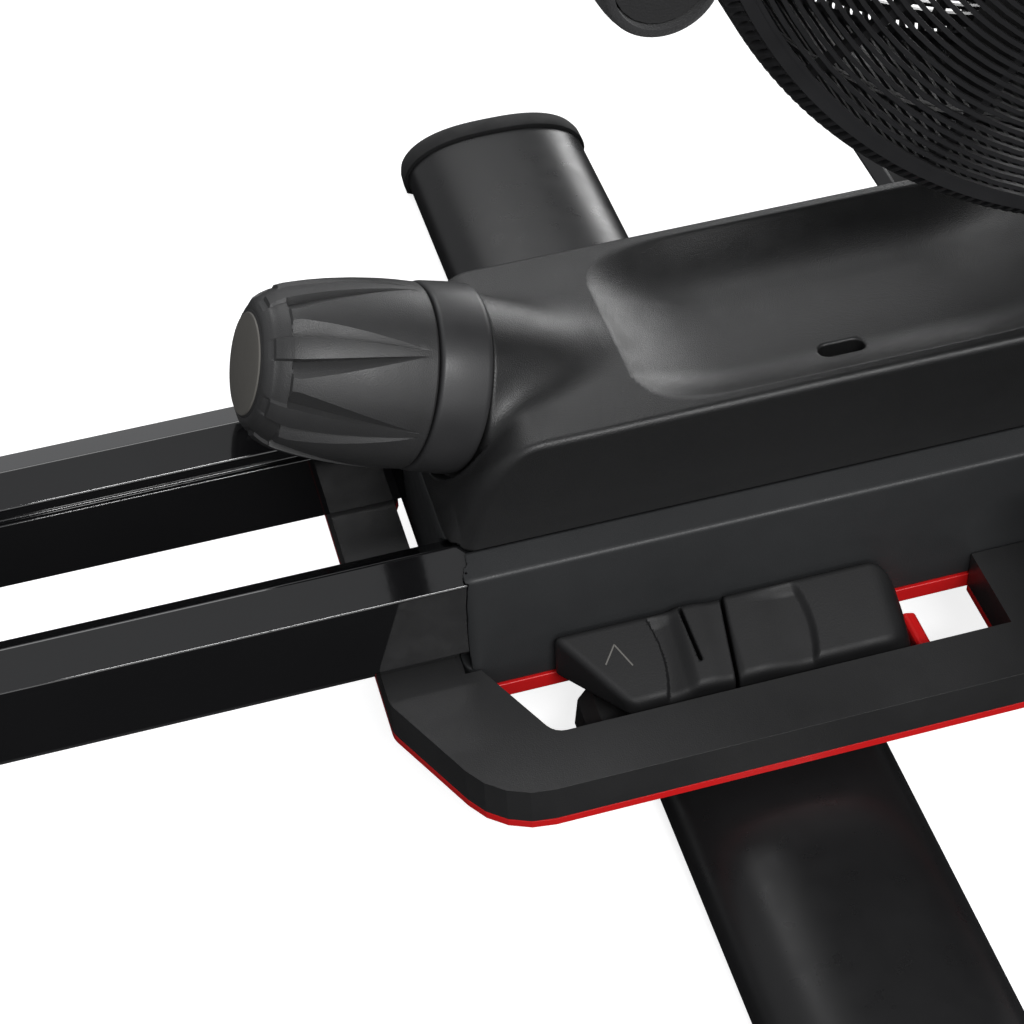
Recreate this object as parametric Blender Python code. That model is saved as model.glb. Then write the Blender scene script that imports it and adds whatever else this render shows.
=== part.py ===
"""Twin-rail rowing machine with a caged fan, for Blender 4.5.

Run with: blender --background --python part.py
The script works in millimetres and scales to metres as each mesh is made.
+X runs towards the fan, +Y to the rower's left, +Z up. The origin is on the floor,
under the middle of the machine.
"""

from math import asin, atan2, cos, hypot, pi, radians, sin, tan

import bmesh
import bpy
from mathutils import Matrix, Vector

# ---------------------------------------------------------------- driving sizes, millimetres
MM = 0.001                    # metres in a millimetre
GAP = 0.4                     # clearance between pieces that touch on the real machine
LENGTH = 1800.0               # whole machine, back of the rails to front of the wheels
RIDGE_Z = 120.0               # top edge of the rails above the floor
RIDGE_Y = 49.0                # from the centre plane to each rail's ridge
RAIL_OUTER_Y = 66.0
RAIL_INNER_Y = 36.0
RAIL_BOTTOM_Z = 67.6
RAIL_WALL = 2.2
RAIL_FRONT_X = 352.0
BODY_REAR_X = 300.0
BODY_FRONT_X = 870.0
BODY_HALF = 68.5
SEAM_Z = 119.0                # parting line of the two body mouldings
COVER_HALF = 56.0
COVER_TOP_Z = 170.0
WALL = 3.0                    # moulded wall
LOOP_TOP_Z = 67.0
LOOP_BOTTOM_Z = 49.0
LOOP_OUTER_Y = 136.0
LOOP_INNER_Y = 109.0
TRIM_BOTTOM_Z = 45.0
FOOT_X = 418.0                # centre of the wide cross foot
FOOT_HALF_WIDTH = 49.5
FOOT_TOP_Z = 31.0
FOOT_HALF_SPAN = 350.0
FOOT_CAP = 16.0               # length of the moulding on each end of the cross foot
KNOB_TILT = radians(20.4)     # knob axis above the horizontal
KNOB_COLLAR_X = 311.0
KNOB_COLLAR_Z = 165.3
FAN_X = 608.5
FAN_Z = 446.0
CAGE_RADIUS = 225.0
CAGE_HALF = 70.0
SEAT_X = -350.0
ROLLER_GROOVE_RADIUS = 14.0
STRAP_Z = FAN_Z + 42.0
HANDLE_X = 322.0
CONSOLE_X = 600.0
CONSOLE_Z = 748.0

SIDES = (("right", -1), ("left", 1))

# ---------------------------------------------------------------- materials
FINISHES = {
    "gloss_black_paint": ((0.012, 0.012, 0.013), 0.16, 0.0),
    "satin_black_paint": ((0.022, 0.022, 0.024), 0.42, 0.0),
    "textured_plastic": ((0.030, 0.030, 0.032), 0.58, 0.0),
    "smooth_plastic": ((0.018, 0.018, 0.020), 0.35, 0.0),
    "grey_plastic": ((0.10, 0.10, 0.105), 0.45, 0.0),
    "red_plastic": ((0.62, 0.012, 0.014), 0.35, 0.0),
    "black_rubber": ((0.015, 0.015, 0.016), 0.8, 0.0),
    "foam": ((0.02, 0.02, 0.021), 0.9, 0.0),
    "webbing": ((0.02, 0.02, 0.022), 0.85, 0.0),
    "steel": ((0.55, 0.56, 0.58), 0.3, 1.0),
    "cast_iron": ((0.20, 0.20, 0.21), 0.5, 1.0),
    "screen_glass": ((0.02, 0.03, 0.03), 0.08, 0.0),
}


def finish(name):
    """The Principled material of that name, made once."""
    found = bpy.data.materials.get(name)
    if found:
        return found
    colour, roughness, metallic = FINISHES[name]
    made = bpy.data.materials.new(name)
    made.use_nodes = True
    shader = made.node_tree.nodes["Principled BSDF"]
    shader.inputs["Base Color"].default_value = (*colour, 1.0)
    shader.inputs["Roughness"].default_value = roughness
    shader.inputs["Metallic"].default_value = metallic
    made.diffuse_color = (*colour, 1.0)
    return made


# ---------------------------------------------------------------- outlines
def mirrored(half):
    """A closed outline from its +Y half, given from one end of the centre line to the other."""
    return list(half) + [(-y, z) for y, z in reversed(half) if y > 1e-6]


def rounded(corners, steps=4):
    """An outline with each (a, b, radius) corner replaced by an arc of that radius."""
    points = []
    count = len(corners)
    for i, (a, b, radius) in enumerate(corners):
        here = Vector((a, b))
        before = Vector(corners[i - 1][:2]) - here
        after = Vector(corners[(i + 1) % count][:2]) - here
        if radius <= 0:
            points.append(here[:])
            continue
        half_angle = before.angle(after) / 2
        reach = min(radius / tan(half_angle), 0.49 * before.length, 0.49 * after.length)
        start = here + before.normalized() * reach
        end = here + after.normalized() * reach
        bisector = (before.normalized() + after.normalized()).normalized()
        true_radius = reach * tan(half_angle)
        centre = here + bisector * hypot(reach, true_radius)
        angle = atan2(start.y - centre.y, start.x - centre.x)
        sweep = atan2(end.y - centre.y, end.x - centre.x) - angle
        sweep = (sweep + pi) % (2 * pi) - pi
        for step in range(steps + 1):
            turn = angle + sweep * step / steps
            points.append((centre.x + true_radius * cos(turn), centre.y + true_radius * sin(turn)))
    return points


def inset(outline, distance):
    """The outline moved inwards by a distance, with mitred corners."""
    area = sum(p[0] * q[1] - q[0] * p[1] for p, q in zip(outline, outline[1:] + outline[:1]))
    turn = 1 if area > 0 else -1
    points = []
    for i, here in enumerate(outline):
        here = Vector(here)
        into = (here - Vector(outline[i - 1])).normalized()
        out = (Vector(outline[(i + 1) % len(outline)]) - here).normalized()
        normal_in = Vector((-into.y, into.x)) * turn
        normal_out = Vector((-out.y, out.x)) * turn
        mitre = (normal_in + normal_out) / (1 + normal_in.dot(normal_out))
        points.append((here + mitre * distance)[:])
    return points


def rectangle(low_a, low_b, high_a, high_b, radius=0.0):
    """The corners of a rectangle, for rounded() or, with no radius, for prism()."""
    corners = [(low_a, low_b), (high_a, low_b), (high_a, high_b), (low_a, high_b)]
    return rounded([(a, b, radius) for a, b in corners]) if radius else corners


def circle(centre_a, centre_b, radius, steps=24):
    turns = [2 * pi * i / steps for i in range(steps)]
    return [(centre_a + radius * cos(t), centre_b + radius * sin(t)) for t in turns]


# ---------------------------------------------------------------- solids
def point_on(axis, a, b, along):
    """A point from its two outline coordinates and its place along the axis."""
    return {"X": (along, a, b), "Y": (a, along, b), "Z": (a, b, along)}[axis]


def solid(name, points, faces, look, smooth_angle=None):
    """An object from points in millimetres, its faces turned outwards."""
    mesh = bpy.data.meshes.new(name)
    mesh.from_pydata([Vector(p) * MM for p in points], [], faces)
    work = bmesh.new()
    work.from_mesh(mesh)
    bmesh.ops.recalc_face_normals(work, faces=work.faces)
    work.to_mesh(mesh)
    work.free()
    if smooth_angle:
        mesh.shade_smooth()
        mesh.set_sharp_from_angle(angle=radians(smooth_angle))
    made = bpy.data.objects.new(name, mesh)
    bpy.context.scene.collection.objects.link(made)
    made.data.materials.append(finish(look))
    return made


def loft(name, rings, look, smooth_angle=None):
    """A closed solid through rings of points, all with the same count."""
    count = len(rings[0])
    points = [p for ring in rings for p in ring]
    faces = [list(range(count)), list(range(len(points) - count, len(points)))]
    for level in range(len(rings) - 1):
        base = level * count
        for i in range(count):
            j = (i + 1) % count
            faces.append([base + i, base + j, base + count + j, base + count + i])
    return solid(name, points, faces, look, smooth_angle)


def prism(name, outline, axis, low, high, look, smooth_angle=None):
    """An outline extruded along an axis."""
    rings = [[point_on(axis, a, b, along) for a, b in outline] for along in (low, high)]
    return loft(name, rings, look, smooth_angle)


def pipe(name, outer, inner, axis, low, high, look):
    """An open-ended hollow section: two outlines with the same number of points."""
    count = len(outer)
    points = []
    for outline in (outer, inner):
        for along in (low, high):
            points += [point_on(axis, a, b, along) for a, b in outline]
    faces = []
    for i in range(count):
        j = (i + 1) % count
        for near, far in ((0, 1), (2, 3), (0, 2), (1, 3)):
            near_row = near * count
            far_row = far * count
            faces.append([near_row + i, near_row + j, far_row + j, far_row + i])
    return solid(name, points, faces, look)


def turned(name, profile, place, look, steps=24, ring=False, shape=None):
    """A (radius, height) profile turned about the local Z axis of the matrix called place.

    A ring's profile is closed and clear of the axis; any other starts and ends on the axis.
    shape(radius, height, turn) may change the radius round the piece.
    """
    points = []
    rows = []
    for radius, height in profile:
        if radius < 1e-6:
            rows.append([len(points)] * steps)
            points.append(place @ Vector((0, 0, height)))
            continue
        rows.append(list(range(len(points), len(points) + steps)))
        for i in range(steps):
            turn = 2 * pi * i / steps
            reach = shape(radius, height, turn) if shape else radius
            points.append(place @ Vector((reach * cos(turn), reach * sin(turn), height)))
    pairs = list(zip(rows, rows[1:]))
    if ring:
        pairs.append((rows[-1], rows[0]))
    faces = []
    for low, high in pairs:
        for i in range(steps):
            j = (i + 1) % steps
            corners = [low[i], low[j], high[j], high[i]]
            faces.append(list(dict.fromkeys(corners)))
    return solid(name, points, faces, look, 40)


def along_y(x, y, z):
    """A matrix whose local Z axis is +Y, at a place in millimetres."""
    return Matrix.Translation((x, y, z)) @ Matrix.Rotation(-pi / 2, 4, "X")


def combine(target, tool, operation):
    """Adds tool to target, or cuts it out, with an exact Boolean."""
    tool.hide_render = True
    tool.display_type = "WIRE"
    step = target.modifiers.new(tool.name, "BOOLEAN")
    step.operation = operation
    step.solver = "EXACT"
    step.object = tool


def cut(target, tool):
    combine(target, tool, "DIFFERENCE")


def join(target, tool):
    combine(target, tool, "UNION")


def box(name, low, high, look, radius=0.0):
    """A block between two corners, with its upright edges rounded."""
    outline = rectangle(low[0], low[1], high[0], high[1], radius)
    return prism(name, outline, "Z", low[2], high[2], look, 40 if radius else None)


def pivot(name, place, pieces):
    """An empty on a joint's axis, with the pieces that move about it as its children."""
    empty = bpy.data.objects.new(name, None)
    empty.empty_display_size = 0.04
    empty.location = Vector(place) * MM
    bpy.context.scene.collection.objects.link(empty)
    for piece in pieces:
        piece.parent = empty
        piece.matrix_parent_inverse = Matrix.Translation(-Vector(place) * MM)
    return empty


# ---------------------------------------------------------------- rails and feet
RAIL_SECTION = [
    (RIDGE_Y, RIDGE_Z),
    (RAIL_OUTER_Y, RIDGE_Z - 6.0),
    (RAIL_OUTER_Y, RAIL_BOTTOM_Z + 8.4),
    (RAIL_OUTER_Y - 6.0, RAIL_BOTTOM_Z),
    (RAIL_INNER_Y, RAIL_BOTTOM_Z),
    (RAIL_INNER_Y, RIDGE_Z - 17.5),
    (RAIL_INNER_Y + 3.0, RIDGE_Z - 17.5),
    (RAIL_INNER_Y + 3.0, RIDGE_Z - 14.0),
    (RAIL_INNER_Y, RIDGE_Z - 14.0),
    (RAIL_INNER_Y, RIDGE_Z - 9.0),
]
RAIL_CAP = 11.7


def rail(side, sign):
    outer = [(sign * y, z) for y, z in RAIL_SECTION]
    inner = [(sign * y, z) for y, z in inset(RAIL_SECTION, RAIL_WALL)]
    rear = -LENGTH / 2 + RAIL_CAP + GAP
    pipe(f"rail_{side}", outer, inner, "X", rear, RAIL_FRONT_X, "gloss_black_paint")
    prism(f"rail_cap_{side}", outer, "X", -LENGTH / 2, -LENGTH / 2 + RAIL_CAP, "smooth_plastic")


def rear_foot():
    """A cross foot with a post under each rail."""
    half = [
        (0.0, 30.0), (RAIL_INNER_Y - 6.0, 30.0), (RAIL_INNER_Y - 2.0, RAIL_BOTTOM_Z - GAP),
        (RAIL_OUTER_Y - 4.0, RAIL_BOTTOM_Z - GAP), (RAIL_OUTER_Y + 2.0, 32.0), (228.0, 24.0),
        (234.0, 16.0), (234.0, 4.0), (228.0, 0.0), (0.0, 0.0),
    ]
    prism("rear_foot", mirrored(half), "X", -842.0, -782.0, "satin_black_paint")


FOOT_CROWN = ((1.0, 9.0), (0.97, 15.0), (0.89, 20.5), (0.74, 25.5), (0.45, 29.6), (0.0, FOOT_TOP_Z))


def foot_section(base, grow):
    """The cross foot's section: a flat base under a shallow crown, with its sides drawn in."""
    half_base = FOOT_HALF_WIDTH - 5.0
    crown = [(part * (FOOT_HALF_WIDTH + grow), z + grow) for part, z in FOOT_CROWN]
    right = [(FOOT_X + half_base, base)] + [(FOOT_X + x, z) for x, z in crown]
    left = [(FOOT_X - x, z) for x, z in reversed(crown[:-1])] + [(FOOT_X - half_base, base)]
    return right + left


def middle_foot():
    """The wide crowned cross foot under the body, with a moulded cap on each end."""
    span = FOOT_HALF_SPAN - FOOT_CAP
    prism("middle_foot", foot_section(3.0, 0.0), "Y", -span, span, "satin_black_paint", 40)
    for side, sign in SIDES:
        rings = []
        for reach, grow in ((span + GAP, 2.0), (FOOT_HALF_SPAN - 8.0, 2.0), (FOOT_HALF_SPAN, -4.0)):
            rings.append([(x, sign * reach, z) for x, z in foot_section(0.0, grow)])
        loft(f"middle_foot_cap_{side}", rings, "black_rubber", 40)


WHEEL_RADIUS = 28.0
WHEEL_X = LENGTH / 2 - WHEEL_RADIUS
WHEEL_Z = WHEEL_RADIUS + 4.0


def front_foot():
    """A narrow cross foot with two lugs that carry the transport wheels."""
    half = [
        (0.0, 56.0), (19.0, 56.0), (19.0, 45.0), (40.0, 30.0), (144.0, 24.0), (150.0, 18.0),
        (150.0, 4.0), (146.0, 0.0), (0.0, 0.0),
    ]
    foot = prism("front_foot", mirrored(half), "X", 780.0, 832.0, "satin_black_paint")
    lug = [(820.0, 5.0), (872.0, 20.0), (886.0, 32.0), (872.0, 46.0), (820.0, 25.0)]
    for side, sign in SIDES:
        join(foot, prism(f"tool_lug_{side}", lug, "Y", sign * 118.0, sign * 130.0, "satin_black_paint"))
    bore = prism("tool_wheel_bore", circle(WHEEL_X, WHEEL_Z, 5.0 + GAP), "Y", -140.0, 140.0, "steel")
    cut(foot, bore)
    for side, sign in SIDES:
        profile = [
            (0.0, 0.0), (5.0, 0.0), (5.0, 14.0), (12.0, 14.0), (12.0, 16.0),
            (WHEEL_RADIUS - 3.0, 16.0), (WHEEL_RADIUS, 19.0), (WHEEL_RADIUS, 33.0),
            (WHEEL_RADIUS - 3.0, 36.0), (0.0, 36.0),
        ]
        place = Matrix.Translation((WHEEL_X, sign * 117.0, WHEEL_Z)) @ Matrix.Rotation(
            -sign * pi / 2, 4, "X",
        )
        wheel = turned(f"transport_wheel_{side}", profile, place, "black_rubber")
        pivot(f"wheel_axis_{side}", (WHEEL_X, sign * 140.0, WHEEL_Z), [wheel])


# ---------------------------------------------------------------- welded frame
def side_frame():
    """The flat tube frame that passes under both rails and loops out on both sides."""
    half = [
        (266.6, 0.0, 0), (266.6, 75.3, 12.0), (296.3, LOOP_OUTER_Y, 34.0), (736.0, LOOP_OUTER_Y, 34.0),
        (756.0, BODY_HALF + GAP, 0), (726.0, BODY_HALF + GAP, 0), (712.0, LOOP_INNER_Y, 6.0),
        (545.0, LOOP_INNER_Y, 0), (545.0, BODY_HALF + GAP, 0), (518.0, BODY_HALF + GAP, 0),
        (518.0, LOOP_INNER_Y, 0), (325.4, LOOP_INNER_Y, 8.0), (306.1, BODY_HALF + GAP, 0),
        (BODY_REAR_X - GAP, BODY_HALF + GAP, 0), (BODY_REAR_X - GAP, 55.0, 0), (294.8, 45.4, 6.0),
        (294.8, 0.0, 0),
    ]
    outline = rounded(half)
    outline += [(x, -y) for x, y in reversed(outline) if y > 1e-6]
    prism("side_frame", outline, "Z", LOOP_BOTTOM_Z, LOOP_TOP_Z, "satin_black_paint", 40)
    prism("side_frame_trim", outline, "Z", TRIM_BOTTOM_Z, LOOP_BOTTOM_Z - GAP, "red_plastic", 40)


SPINE_HALF = 22.0
SPINE_LOW = 62.0
SPINE_HIGH = 100.0
SPINE_WALL = 3.0


def main_spine():
    """The box tube inside the body, with the pedestals that stand on the two front feet."""
    outer = rectangle(-SPINE_HALF, SPINE_LOW, SPINE_HALF, SPINE_HIGH)
    inner = inset(outer, SPINE_WALL)
    spine = pipe("main_spine", outer, inner, "X", 312.0, 850.0, "satin_black_paint")
    half_leg = 26.0
    stand = box(
        "tool_stand", (FOOT_X - half_leg, -20.0, FOOT_TOP_Z + GAP),
        (FOOT_X + half_leg, 20.0, SPINE_LOW + 1.5),
        "satin_black_paint",
    )
    join(spine, stand)
    front = box(
        "tool_front_stand", (786.0, -20.0, 56.0 + GAP), (826.0, 20.0, SPINE_LOW + 1.5), "satin_black_paint",
    )
    join(spine, front)


FORK_HALF = 50.0
FORK_PLATE = 4.0
FORK_REAR_X = FAN_X - 19.0
FORK_FRONT_X = FAN_X + 19.0
FORK_TOP_Z = 712.0


def fan_fork():
    """The tall ring-shaped frame that carries the fan axle and the console."""
    low = SPINE_HIGH + GAP
    outer = rectangle(-FORK_HALF, low, FORK_HALF, FORK_TOP_Z)
    inner = rectangle(-FORK_HALF + FORK_PLATE, low + 6.0, FORK_HALF - FORK_PLATE, FORK_TOP_Z - 6.0)
    fork = pipe("fan_fork", outer, inner, "X", FORK_REAR_X, FORK_FRONT_X, "satin_black_paint")
    bore = prism("tool_fork_bore", circle(FAN_X, FAN_Z, 8.0 + GAP), "Y", -90.0, 90.0, "steel")
    cut(fork, bore)


# ---------------------------------------------------------------- body mouldings
def rail_cutter(sign, name):
    """The rails' section grown by a clearance, to cut their pockets in the body."""
    grown = [(sign * y, z) for y, z in inset(RAIL_SECTION[:5] + RAIL_SECTION[-1:], -2 * GAP)]
    return prism(name, grown, "X", BODY_REAR_X - 20.0, RAIL_FRONT_X + 1.0, "steel")


def body_rings(outline_at, stations, shrink=0.0):
    """Cross-sections of a moulding at each station along X, moved inwards by shrink."""
    rings = []
    for x in stations:
        outline = outline_at(x)
        if shrink:
            outline = inset(outline, shrink)
        rings.append([(x, y, z) for y, z in outline])
    return rings


def front_taper(x):
    """How much of its full width the body keeps at a station: it narrows at the front."""
    start = 690.0
    if x <= start:
        return 1.0
    part = (x - start) / (BODY_FRONT_X - start)
    return 1.0 - 0.30 * part * part


def lower_outline(x):
    wide = front_taper(x)
    half = [
        (0.0, SEAM_Z - GAP), (54.0, SEAM_Z - GAP), (67.0, SEAM_Z - 4.0), (BODY_HALF, SEAM_Z - 10.0),
        (BODY_HALF, 58.0), (64.0, 52.0), (0.0, 52.0),
    ]
    return mirrored([(y * wide, z) for y, z in half])


BODY_STATIONS = [BODY_REAR_X, 500.0, 690.0, 760.0, 820.0, BODY_FRONT_X]


def lower_body():
    """The tub that closes the body from the parting line down."""
    body = loft("lower_body", body_rings(lower_outline, BODY_STATIONS), "textured_plastic", 30)
    stations = [RAIL_FRONT_X + 4.0, 500.0, 690.0, 760.0, 820.0, BODY_FRONT_X - WALL]
    hollow = loft("tool_lower_hollow", body_rings(lower_outline, stations, WALL), "steel")
    cut(body, hollow)
    lid = box(
        "tool_lower_lid", (RAIL_FRONT_X + 4.0, -44.0, 100.0), (BODY_FRONT_X - 30.0, 44.0, 140.0), "steel",
    )
    cut(body, lid)
    spine_room = box("tool_spine_room", (308.0, -24.0, 60.0), (372.0, 24.0, 140.0), "steel")
    cut(body, spine_room)
    for name, x in (("tool_stand_hole", FOOT_X), ("tool_front_hole", 806.0)):
        cut(body, box(name, (x - 27.0, -21.0, 40.0), (x + 27.0, 21.0, 63.0), "steel"))
    for side, sign in SIDES:
        cut(body, rail_cutter(sign, f"tool_rail_low_{side}"))
    fork_low = box(
        "tool_fork_low", (FORK_REAR_X - 1.0, -FORK_HALF - 1.0, SPINE_HIGH - 0.5),
        (FORK_FRONT_X + 1.0, FORK_HALF + 1.0, 140.0), "steel",
    )
    cut(body, fork_low)


def body_trim():
    """The coloured strip under the body."""
    outline = []
    for x in BODY_STATIONS:
        outline.append((x, 64.0 * front_taper(x)))
    outline += [(x, -y) for x, y in reversed(outline)]
    trim = prism("body_trim", outline, "Z", 47.0, 52.0 - GAP, "red_plastic")
    for name, x in (("tool_trim_hole", FOOT_X), ("tool_trim_front", 806.0)):
        cut(trim, box(name, (x - 27.0, -21.0, 40.0), (x + 27.0, 21.0, 63.0), "steel"))


def cover_height(x):
    """Height of the cover's top edge: a steep rear slope, a long level and a falling front."""
    if x < 340.0:
        part = (340.0 - x) / (340.0 - BODY_REAR_X)
        return COVER_TOP_Z - 42.0 * part ** 2.0
    if x > 660.0:
        part = (x - 660.0) / (BODY_FRONT_X - 660.0)
        return COVER_TOP_Z - 40.0 * part * part
    return COVER_TOP_Z


TRAY_REAR_X = 382.0
TRAY_FRONT_X = 575.0
TRAY_DEPTH = 15.0


def tray_drop(x, y):
    """Depth of the long scooped tray below the cover's top."""
    along = (x - TRAY_REAR_X) / (TRAY_FRONT_X - TRAY_REAR_X)
    across = abs(y) / 50.0
    if not 0.0 < along < 1.0 or across >= 1.0:
        return 0.0
    ends = min(1.0, along / 0.16, (1.0 - along) / 0.16)
    sides = 1.0 - across ** 3
    return TRAY_DEPTH * sides * ends * ends * (3.0 - 2.0 * ends)


def cover_ring(x):
    """The cover's cross-section, from its right lower edge over the top to its left one."""
    wide = front_taper(x)
    high = cover_height(x)
    half = [(54.0, SEAM_Z), (55.4, (SEAM_Z + high) / 2), (COVER_HALF, high - 3.0), (53.0, high)]
    top = [(y, high - tray_drop(x, y)) for y in (44.0, 30.0, 15.0, 0.0)]
    left = [(y * wide, z) for y, z in half + top]
    right = [(-y, z) for y, z in left[:-1]]
    return [(x, y, z) for y, z in right + left[::-1]]


COVER_STATIONS = (
    BODY_REAR_X, 303.0, 308.0, 315.0, 323.0, 331.0, 340.0, 382.0, 391.0, 401.0, 413.0, 544.0, 556.0, 566.0,
    575.0, 660.0, 730.0, 800.0, BODY_FRONT_X,
)


def knob_place(reach):
    """A matrix whose local Z axis is the knob's axis, pointing out to the rower."""
    axis = Vector((-cos(KNOB_TILT), 0.0, sin(KNOB_TILT)))
    centre = Vector((KNOB_COLLAR_X, 0.0, KNOB_COLLAR_Z)) + axis * reach
    return Matrix.Translation(centre) @ axis.to_track_quat("Z", "Y").to_matrix().to_4x4()


def upper_cover():
    """The thin top moulding with its tray, and the nose that carries the knob."""
    rings = [cover_ring(x) for x in COVER_STATIONS]
    count = len(rings[0])
    points = [p for ring in rings for p in ring]
    faces = [list(range(count)), list(range(len(points) - count, len(points)))]
    for level in range(len(rings) - 1):
        for i in range(count - 1):
            base = level * count + i
            faces.append([base, base + 1, base + count + 1, base + count])
    cover = solid("upper_cover", points, faces, "textured_plastic", 30)
    shell = cover.modifiers.new("wall", "SOLIDIFY")
    shell.thickness = WALL * MM
    shell.offset = -1.0
    pocket = [(0.0, -10.1), (40.0, -10.1), (40.0, 70.0), (0.0, 70.0)]
    cut(cover, turned("tool_collar_pocket", pocket, knob_place(0.0), "steel", 28))
    nose = [(0.0, -66.0), (25.0, -66.0), (28.5, -52.0), (34.8, -12.0), (34.8, -10.3), (0.0, -10.3)]
    join(cover, turned("tool_nose", nose, knob_place(0.0), "textured_plastic", 28))
    bore = [(0.0, -90.0), (6.5, -90.0), (6.5, 20.0), (0.0, 20.0)]
    cut(cover, turned("tool_nose_bore", bore, knob_place(0.0), "steel", 16))
    for side, sign in SIDES:
        cut(cover, rail_cutter(sign, f"tool_rail_top_{side}"))
        low = min(sign * (FORK_HALF + 1.0), sign * (FORK_HALF - FORK_PLATE - 1.0))
        high = max(sign * (FORK_HALF + 1.0), sign * (FORK_HALF - FORK_PLATE - 1.0))
        slot = box(
            f"tool_fork_slot_{side}", (FORK_REAR_X - 1.0, low, 130.0), (FORK_FRONT_X + 1.0, high, 190.0),
            "steel"
        )
        cut(cover, slot)
    port = rounded([(456.0, -44.5, 3.4), (475.0, -44.5, 3.4), (475.0, -37.5, 3.4), (456.0, -37.5, 3.4)])
    cut(cover, prism("tool_port", port, "Z", 130.0, 190.0, "steel"))


# ---------------------------------------------------------------- tension knob
KNOB_LENGTH = 67.5
KNOB_RADIUS = 38.5
KNOB_FLUTES = 7


def fluted(radius, height, turn):
    """The knob's radius round its side: wedge-shaped flutes that fade towards the collar."""
    part = height / KNOB_LENGTH
    if not 0.08 < part < 0.92 or radius < 20.0:
        return radius
    wave = 0.5 + 0.5 * cos(KNOB_FLUTES * turn)
    return radius - 3.4 * wave ** 2 * min(1.0, part / 0.75)


def knob():
    place = knob_place(10.6)
    profile = [
        (0.0, 0.0), (36.5, 0.0), (KNOB_RADIUS, 3.0), (KNOB_RADIUS, 10.0), (37.0, 22.0), (34.6, 35.0),
        (31.6, 48.0), (28.6, 59.0), (24.0, 65.5), (20.6, KNOB_LENGTH), (20.6, KNOB_LENGTH - 3.0),
        (0.0, KNOB_LENGTH - 3.0),
    ]
    body = turned("tension_knob", profile, place, "textured_plastic", 40, shape=fluted)
    cut(
        body,
        turned("tool_knob_bore", [(0.0, -5.0), (5.4, -5.0), (5.4, 40.0), (0.0, 40.0)], place, "steel", 16),
    )
    cap_low = KNOB_LENGTH - 3.0 + GAP
    cap_profile = [
        (0.0, cap_low), (20.2, cap_low), (20.2, KNOB_LENGTH), (17.0, KNOB_LENGTH + 0.8),
        (0.0, KNOB_LENGTH + 1.2),
    ]
    cap = turned("knob_cap", cap_profile, place, "grey_plastic")
    rod = turned("knob_shaft", [(0.0, -85.0), (5.0, -85.0), (5.0, 39.0), (0.0, 39.0)], place, "steel", 16)
    pivot("knob_axis", knob_place(0.0).translation, [body, cap, rod])
    ring = [(6.0, -9.6), (36.6, -9.6), (37.4, -8.0), (38.2, 8.2), (37.0, 9.6), (6.0, 9.6)]
    turned("knob_collar", ring, knob_place(0.0), "textured_plastic", 24, ring=True)


# ---------------------------------------------------------------- foot locks in the side loops
LOCK_REAR_X = 343.5
LOCK_FRONT_X = 488.0
LOCK_STEP_X = 405.0
LOCK_INNER_Y = BODY_HALF + 1.6
LOCK_OUTER_Y = 99.0
LOCK_HINGE_X = 478.0
LOCK_HINGE_Z = 50.0
LOCK_OPEN = 65.0


def lock_section(low, shrink=0.0):
    """The lock's section across the machine: it is highest beside the body and slopes down outwards."""
    half = [(70.6, low), (97.5, low), (101.6, 52.0), (102.0, 61.0), (99.5, 65.5), (73.0, 78.5), (70.6, 78.5)]
    return inset(half, shrink) if shrink else half


def lock_loft(name, sign, stations, look):
    """A lock moulding through its sections at stations along X, each with its floor and shrink."""
    rings = []
    for x, low, shrink in stations:
        rings.append([(x, sign * y, z) for y, z in lock_section(low, shrink)])
    return loft(name, rings, look, 30)


def foot_lock(side, sign):
    """A saddle over the cross foot, its fixed cover, and the lever that clamps it."""
    low_y = sign * LOCK_INNER_Y
    high_y = sign * LOCK_OUTER_Y
    foot_low = FOOT_X - FOOT_HALF_WIDTH - GAP
    foot_high = FOOT_X + FOOT_HALF_WIDTH + GAP
    arch = [
        (LOCK_REAR_X, 22.0), (foot_low, 16.0), (foot_low, FOOT_TOP_Z + GAP), (foot_high, FOOT_TOP_Z + GAP),
        (foot_high, 16.0), (LOCK_FRONT_X - 3.0, 20.0), (LOCK_FRONT_X - 3.0, 36.0), (462.0, 38.0),
        (400.0, 44.0), (350.0, 44.0), (345.0, 36.0),
    ]
    prism(f"foot_saddle_{side}", arch, "Y", low_y, high_y, "black_rubber")
    base = 44.0 + GAP
    stations = ((346.0, base, 5.0), (350.0, base, 0.0), (LOCK_STEP_X - 0.5, base, 0.0))
    lock_loft(f"lock_cover_{side}", sign, stations, "textured_plastic")
    stations = ((LOCK_STEP_X + 0.5, base, 0.0), (474.0, base, 0.0), (484.0, base, 5.0))
    lever = lock_loft(f"lock_lever_{side}", sign, stations, "textured_plastic")
    barrel = circle(LOCK_HINGE_X, LOCK_HINGE_Z, 4.0, 12)
    join(lever, prism(f"tool_barrel_{side}", barrel, "Y", low_y, high_y, "steel"))
    tab = rounded([(487.0, 33.0, 0), (494.0, 33.0, 0), (494.0, 42.0, 2.5), (487.0, 44.0, 2.0)], 3)
    button = prism(f"release_tab_{side}", tab, "Y", sign * 72.0, sign * 96.0, "red_plastic", 40)
    centre_y = (low_y + high_y) / 2
    pivot(f"lever_axis_{side}", (LOCK_HINGE_X, centre_y, LOCK_HINGE_Z), [lever])
    pivot(f"tab_axis_{side}", (490.5, centre_y, 40.0), [button])


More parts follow.
